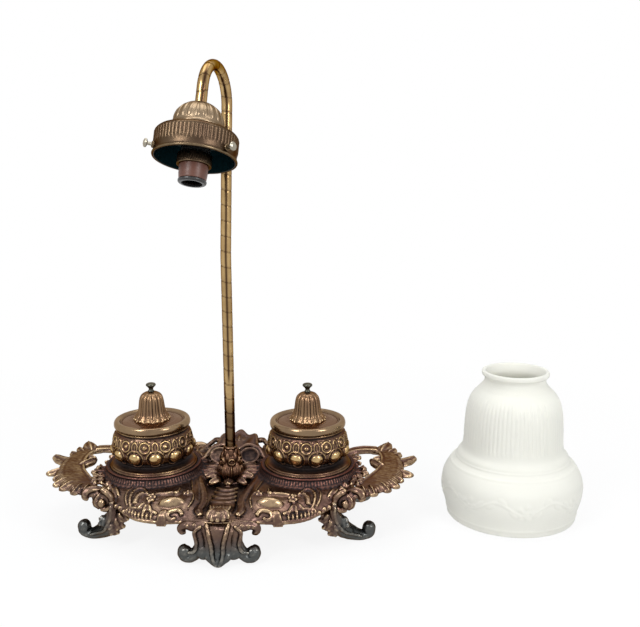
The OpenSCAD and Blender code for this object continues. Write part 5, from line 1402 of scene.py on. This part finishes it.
def lampholder():
    """Makes and dresses the visible pieces of the small lampholder: cap, slotted nut, sleeve and ring."""
    hr, out, top = 10.5, -17.5, GALLERY_H - 1
    bore, rim, wall = hr + 0.1, out + 2.5, hr - 1.6
    cap = [
        [wall, 1.5], [hr, 1.5], [hr, top - 6], [hr - 1, top - 4], [hr - 2.5, top - 0.4], [hr - 3, top],
        [TUBE_HOLE, top], [TUBE_HOLE, top - 2.4], [hr - 3.6, top - 2.4], [wall, top - 7], [wall, 1.5],
    ]
    nut = [
        [bore, -4.5], [bore + 1.6, -4.5], [bore + 1.8, -4.1], [bore + 1.8, 3.2], [bore + 1.5, 3.5],
        [bore, 3.5],
        [bore, -4.5],
    ]
    sleeve = [[8.2, rim], [hr - 0.2, rim], [hr - 0.2, 1.5], [8.2, 1.5], [8.2, rim]]
    ring = [[7.5, out], [hr - 1, out], [hr - 0.2, out + 0.8], [hr - 0.2, rim], [7.5, rim], [7.5, out]]

    def castle(ang, along, r, z):
        slot = ramped(0.3 - np.abs(to_wave(ang, 12)), 0, 0.06) * ramped(z, 1.4, 0.3)
        knurl = 0.14 * np.cos(ang * 48) * bumpy(z, -1.8, 1.6, 4)
        return np.where(r > bore + 0.5, -1.3 * slot + knurl, 0.0)

    for name, form, profile, n, relief, mat, slot in (
        ("cap", "shell", rounded(cap, 1), 96, None, BLACK, "black_holder"),
        ("nut", "ring", rounded(nut, 1), 384, castle, GALLERY, "antique_brass"),
        ("sleeve", "tube", rounded(sleeve, 1), 96, None, BROWN, "brown_sleeve"),
        ("ring", "moulded", rounded(ring), 96, None, BLACK, "black_holder"),
    ):
        node = "lampholder_" + name
        dress(head_turning(f"{node}_{form}", profile, n, relief), "stand", node, mat, slot)


def shade_glass():
    """Frosted glass shade: fine upright flutes on the body, a faint garland in relief on the skirt."""
    r0, b, wall, lip_r, h = 58.4, 40.5, 2.8, 27.5, SHADE_H
    skirt, neck = r0 - 5, lip_r - 2.5
    side = [
        [skirt, 0], [skirt + 1.6, 0.07], [r0 - 0.8, 0.15], [r0, 0.21], [r0 - 1, 0.28], [r0 - 5, 0.345],
        [b + 9.5, 0.375],
        [b + 6.5, 0.4], [b + 5, 0.43], [b + 1.8, 0.465], [b + 0.4, 0.52], [b, 0.6], [b - 0.9, 0.7],
        [b - 2.8, 0.78],
        [b - 6.4, 0.84], [neck + 4, 0.885], [neck + 1, 0.915], [neck, 0.94], [neck + 0.6, 0.962],
    ]
    outer = curve(side, 200) * [1, h]
    d = unit(np.gradient(outer, axis=0))
    inner = (outer + wall * np.column_stack([-d[:, 1], d[:, 0]]))[::-1]
    bore = lip_r - wall
    lip = rounded([
        [lip_r - 0.6, h - 3.9], [lip_r, h - 3.2], [lip_r, h - 0.8], [lip_r - 0.8, h], [bore, h],
        [bore - 0.6, h - 0.9],
    ])
    foot = rounded([[skirt - wall, 0.3], [skirt - wall + 0.3, 0.0], [skirt - 0.3, 0.0], [skirt, 0.3]], 1)
    profile = np.vstack([outer[1:-1], lip, inner[1:-1], foot, outer[1:2]])
    outside = walked(outer)[-1]

    def relief(ang, along, r, z):
        s, t = z / h, to_wave(ang, 8)
        near, up = t * 21, z - 23
        flutes = 0.42 * np.abs(np.sin(ang * 36)) ** 0.8 - 0.2
        flutes = flutes * ramped(s, 0.49, 0.03) * ramped(0.86 - s, 0, 0.05)
        from_vine, from_flower = z - 25 + 4.5 * np.cos(t * np.pi), np.hypot(near, up)
        petals = 0.85 * bumpy(from_flower, 4.6, 2.4) * (0.55 + 0.45 * np.cos(5 * np.arctan2(up, near)))
        beside = from_vine - 2.4 * np.sign(np.cos(ang * 20))
        leaves = 0.6 * dome((to_wave(ang, 40) / 0.8) ** 2 + (beside / 2.4) ** 2)
        vine, heart = 0.75 * bumpy(from_vine, 0, 1.1), 0.8 * bumpy(from_flower, 0, 1.5)
        garland = np.maximum.reduce([vine, petals, heart, leaves])
        garland = 0.6 * garland * ramped(z, 8, 5) * ramped(40 - z, 0, 5)
        ring = 0.5 * bumpy(z, 45.6, 0.9) + 0.35 * bumpy(z, 50.2, 0.8) + 0.3 * bumpy(z, 5.0, 1.0)
        return np.where(along < outside, flutes + garland + ring, 0.0)

    return turning("shade_glass", profile, 900, relief, SHADE, step=0.9)


# ---------------------------------------------------------------- assembly
def dress(obj, body, node, mat, slot):
    """Gives a piece its look, hangs it on the body it rides on and hides the part it replaces; slot is not
    used.
    """
    obj.data.materials.append(mat)
    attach(obj, body)
    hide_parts(node)


dress(tray(), "stand", "tray", CAST, "patinated_brass")
for node in FEET:
    dress(foot_casting(node), "stand", node, CAST, "dark_bronze")
for side, x in SIDE_X.items():
    lid, ears = "lid_" + side, knuckle(x + 3.1, 5.0) + knuckle(x - 8.1, 5.0)
    dress(well_bowl(side), "stand", "well_" + side, CAST_WELL, "patinated_brass")
    dress(knuckles(f"well_{side}_knuckles", ears), "stand", "well_" + side, CAST_WELL, "patinated_brass")
    dress(lid_plate(side), lid, lid, POLISHED, "polished_brass")
    tongue = knuckles(f"lid_{side}_knuckle", knuckle(x - 2.8, 5.6, lid=True))
    dress(tongue, lid, lid, POLISHED, "polished_brass")
    dress(bell(side), lid, "bell_" + side, BELL, "patinated_brass")
    dress(bell_beads(side), lid, "bell_" + side, BELL, "patinated_brass")
    dress(knob(side), lid, "knob_" + side, KNOB, "grey_steel")
dress(stem_cup(), "stand", "stem_cup", CAST_RED, "red_brass")
dress(gooseneck(), "stand", "gooseneck", TUBE, "polished_brass")
dress(canopy(), "stand", "canopy", CANOPY, "antique_brass")
dress(gallery(), "stand", "gallery", GALLERY, "antique_brass")
dress(gallery_bosses(), "stand", "gallery", GALLERY, "antique_brass")
lampholder()
for place, turn in THUMB_TURNS.items():
    node = "thumbscrew_" + place
    dress(thumbscrew(node, turn), node, node, NICKEL, "grey_steel")
dress(shade_glass(), "shade", "shade", GLASS, "frosted_glass")

for mat, nodes in (
    (STEEL, "foot_screws well_screws hinge_pin_left hinge_pin_right lid_nut_left lid_nut_right"),
    (STEEL, "stem_washer stem_nut"), (LINER, "ink_liner_left ink_liner_right"), (TUBE, "socket_shell"),
    (CERAMIC, "contact_block"),
):
    for node in nodes.split():
        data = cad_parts[node].data
        data.materials.clear()
        data.materials.append(mat)


# ---------------------------------------------------------------- floor, light and camera
bpy.ops.mesh.primitive_plane_add(size=6.0, location=(0.07, 0, 0))
floor = bpy.context.object
floor.name = "floor"
s = new_material("floor_white")
away = s.add("VectorMath", {0: s.add("NewGeometry")}, out=1, operation="LENGTH")
far = s.maths("MULTIPLY", s.maths("SUBTRACT", away, 0.2), 2.5, clamp=True)
share = s.maths("MULTIPLY", s.seen(), s.maths("MULTIPLY_ADD", far, 0.12, 0.88))
diffuse = s.add("BsdfDiffuse", {"Color": (0.8, 0.8, 0.8)})
glow = s.add("Emission", {"Color": (1, 1, 1), "Strength": 1.0})
floor.data.materials.append(s.finish(s.add("MixShader", {0: share, 1: diffuse, 2: glow})))

s = Shader(bpy.data.worlds.new("studio"), "OutputWorld")
bluish = s.add("Background", {0: (0.9, 0.94, 1.0), 1: 0.55})
white = s.add("Background", {0: (1, 1, 1), 1: 1.0})
bpy.context.scene.world = s.finish(s.add("MixShader", {0: s.seen(), 1: bluish, 2: white}))


def area(name, place, aim, size, power):
    lamp = bpy.data.lights.new(name, "AREA")
    lamp.shape = "RECTANGLE"
    lamp.size, lamp.size_y = size
    lamp.energy = power
    obj = bpy.data.objects.new(name, lamp)
    bpy.context.scene.collection.objects.link(obj)
    obj.location = place
    obj.rotation_euler = (Vector(aim) - Vector(place)).to_track_quat("-Z", "Y").to_euler()


area("key", (-0.55, -0.75, 0.95), (0.02, 0, 0.08), (0.35, 0.5), 7.6)
area("fill", (0.85, -0.7, 0.75), (0.05, 0, 0.08), (0.35, 0.5), 6)
area("top", (0.05, 0.15, 1.25), (0.05, 0, 0.0), (0.9, 0.6), 5.1)

cam_data = bpy.data.cameras.new("camera")
cam = bpy.data.objects.new("camera", cam_data)
bpy.context.scene.collection.objects.link(cam)
cam.location = (0.0897, -0.6752, 0.306)
cam.rotation_euler = (math.radians(79.06), math.radians(0.23), math.radians(1.25))
cam_data.sensor_width = 36
cam_data.lens = 48.375
cam_data.clip_start, cam_data.clip_end = 0.01, 50
bpy.context.scene.camera = cam
bpy.context.scene.view_settings.view_transform = "Standard"
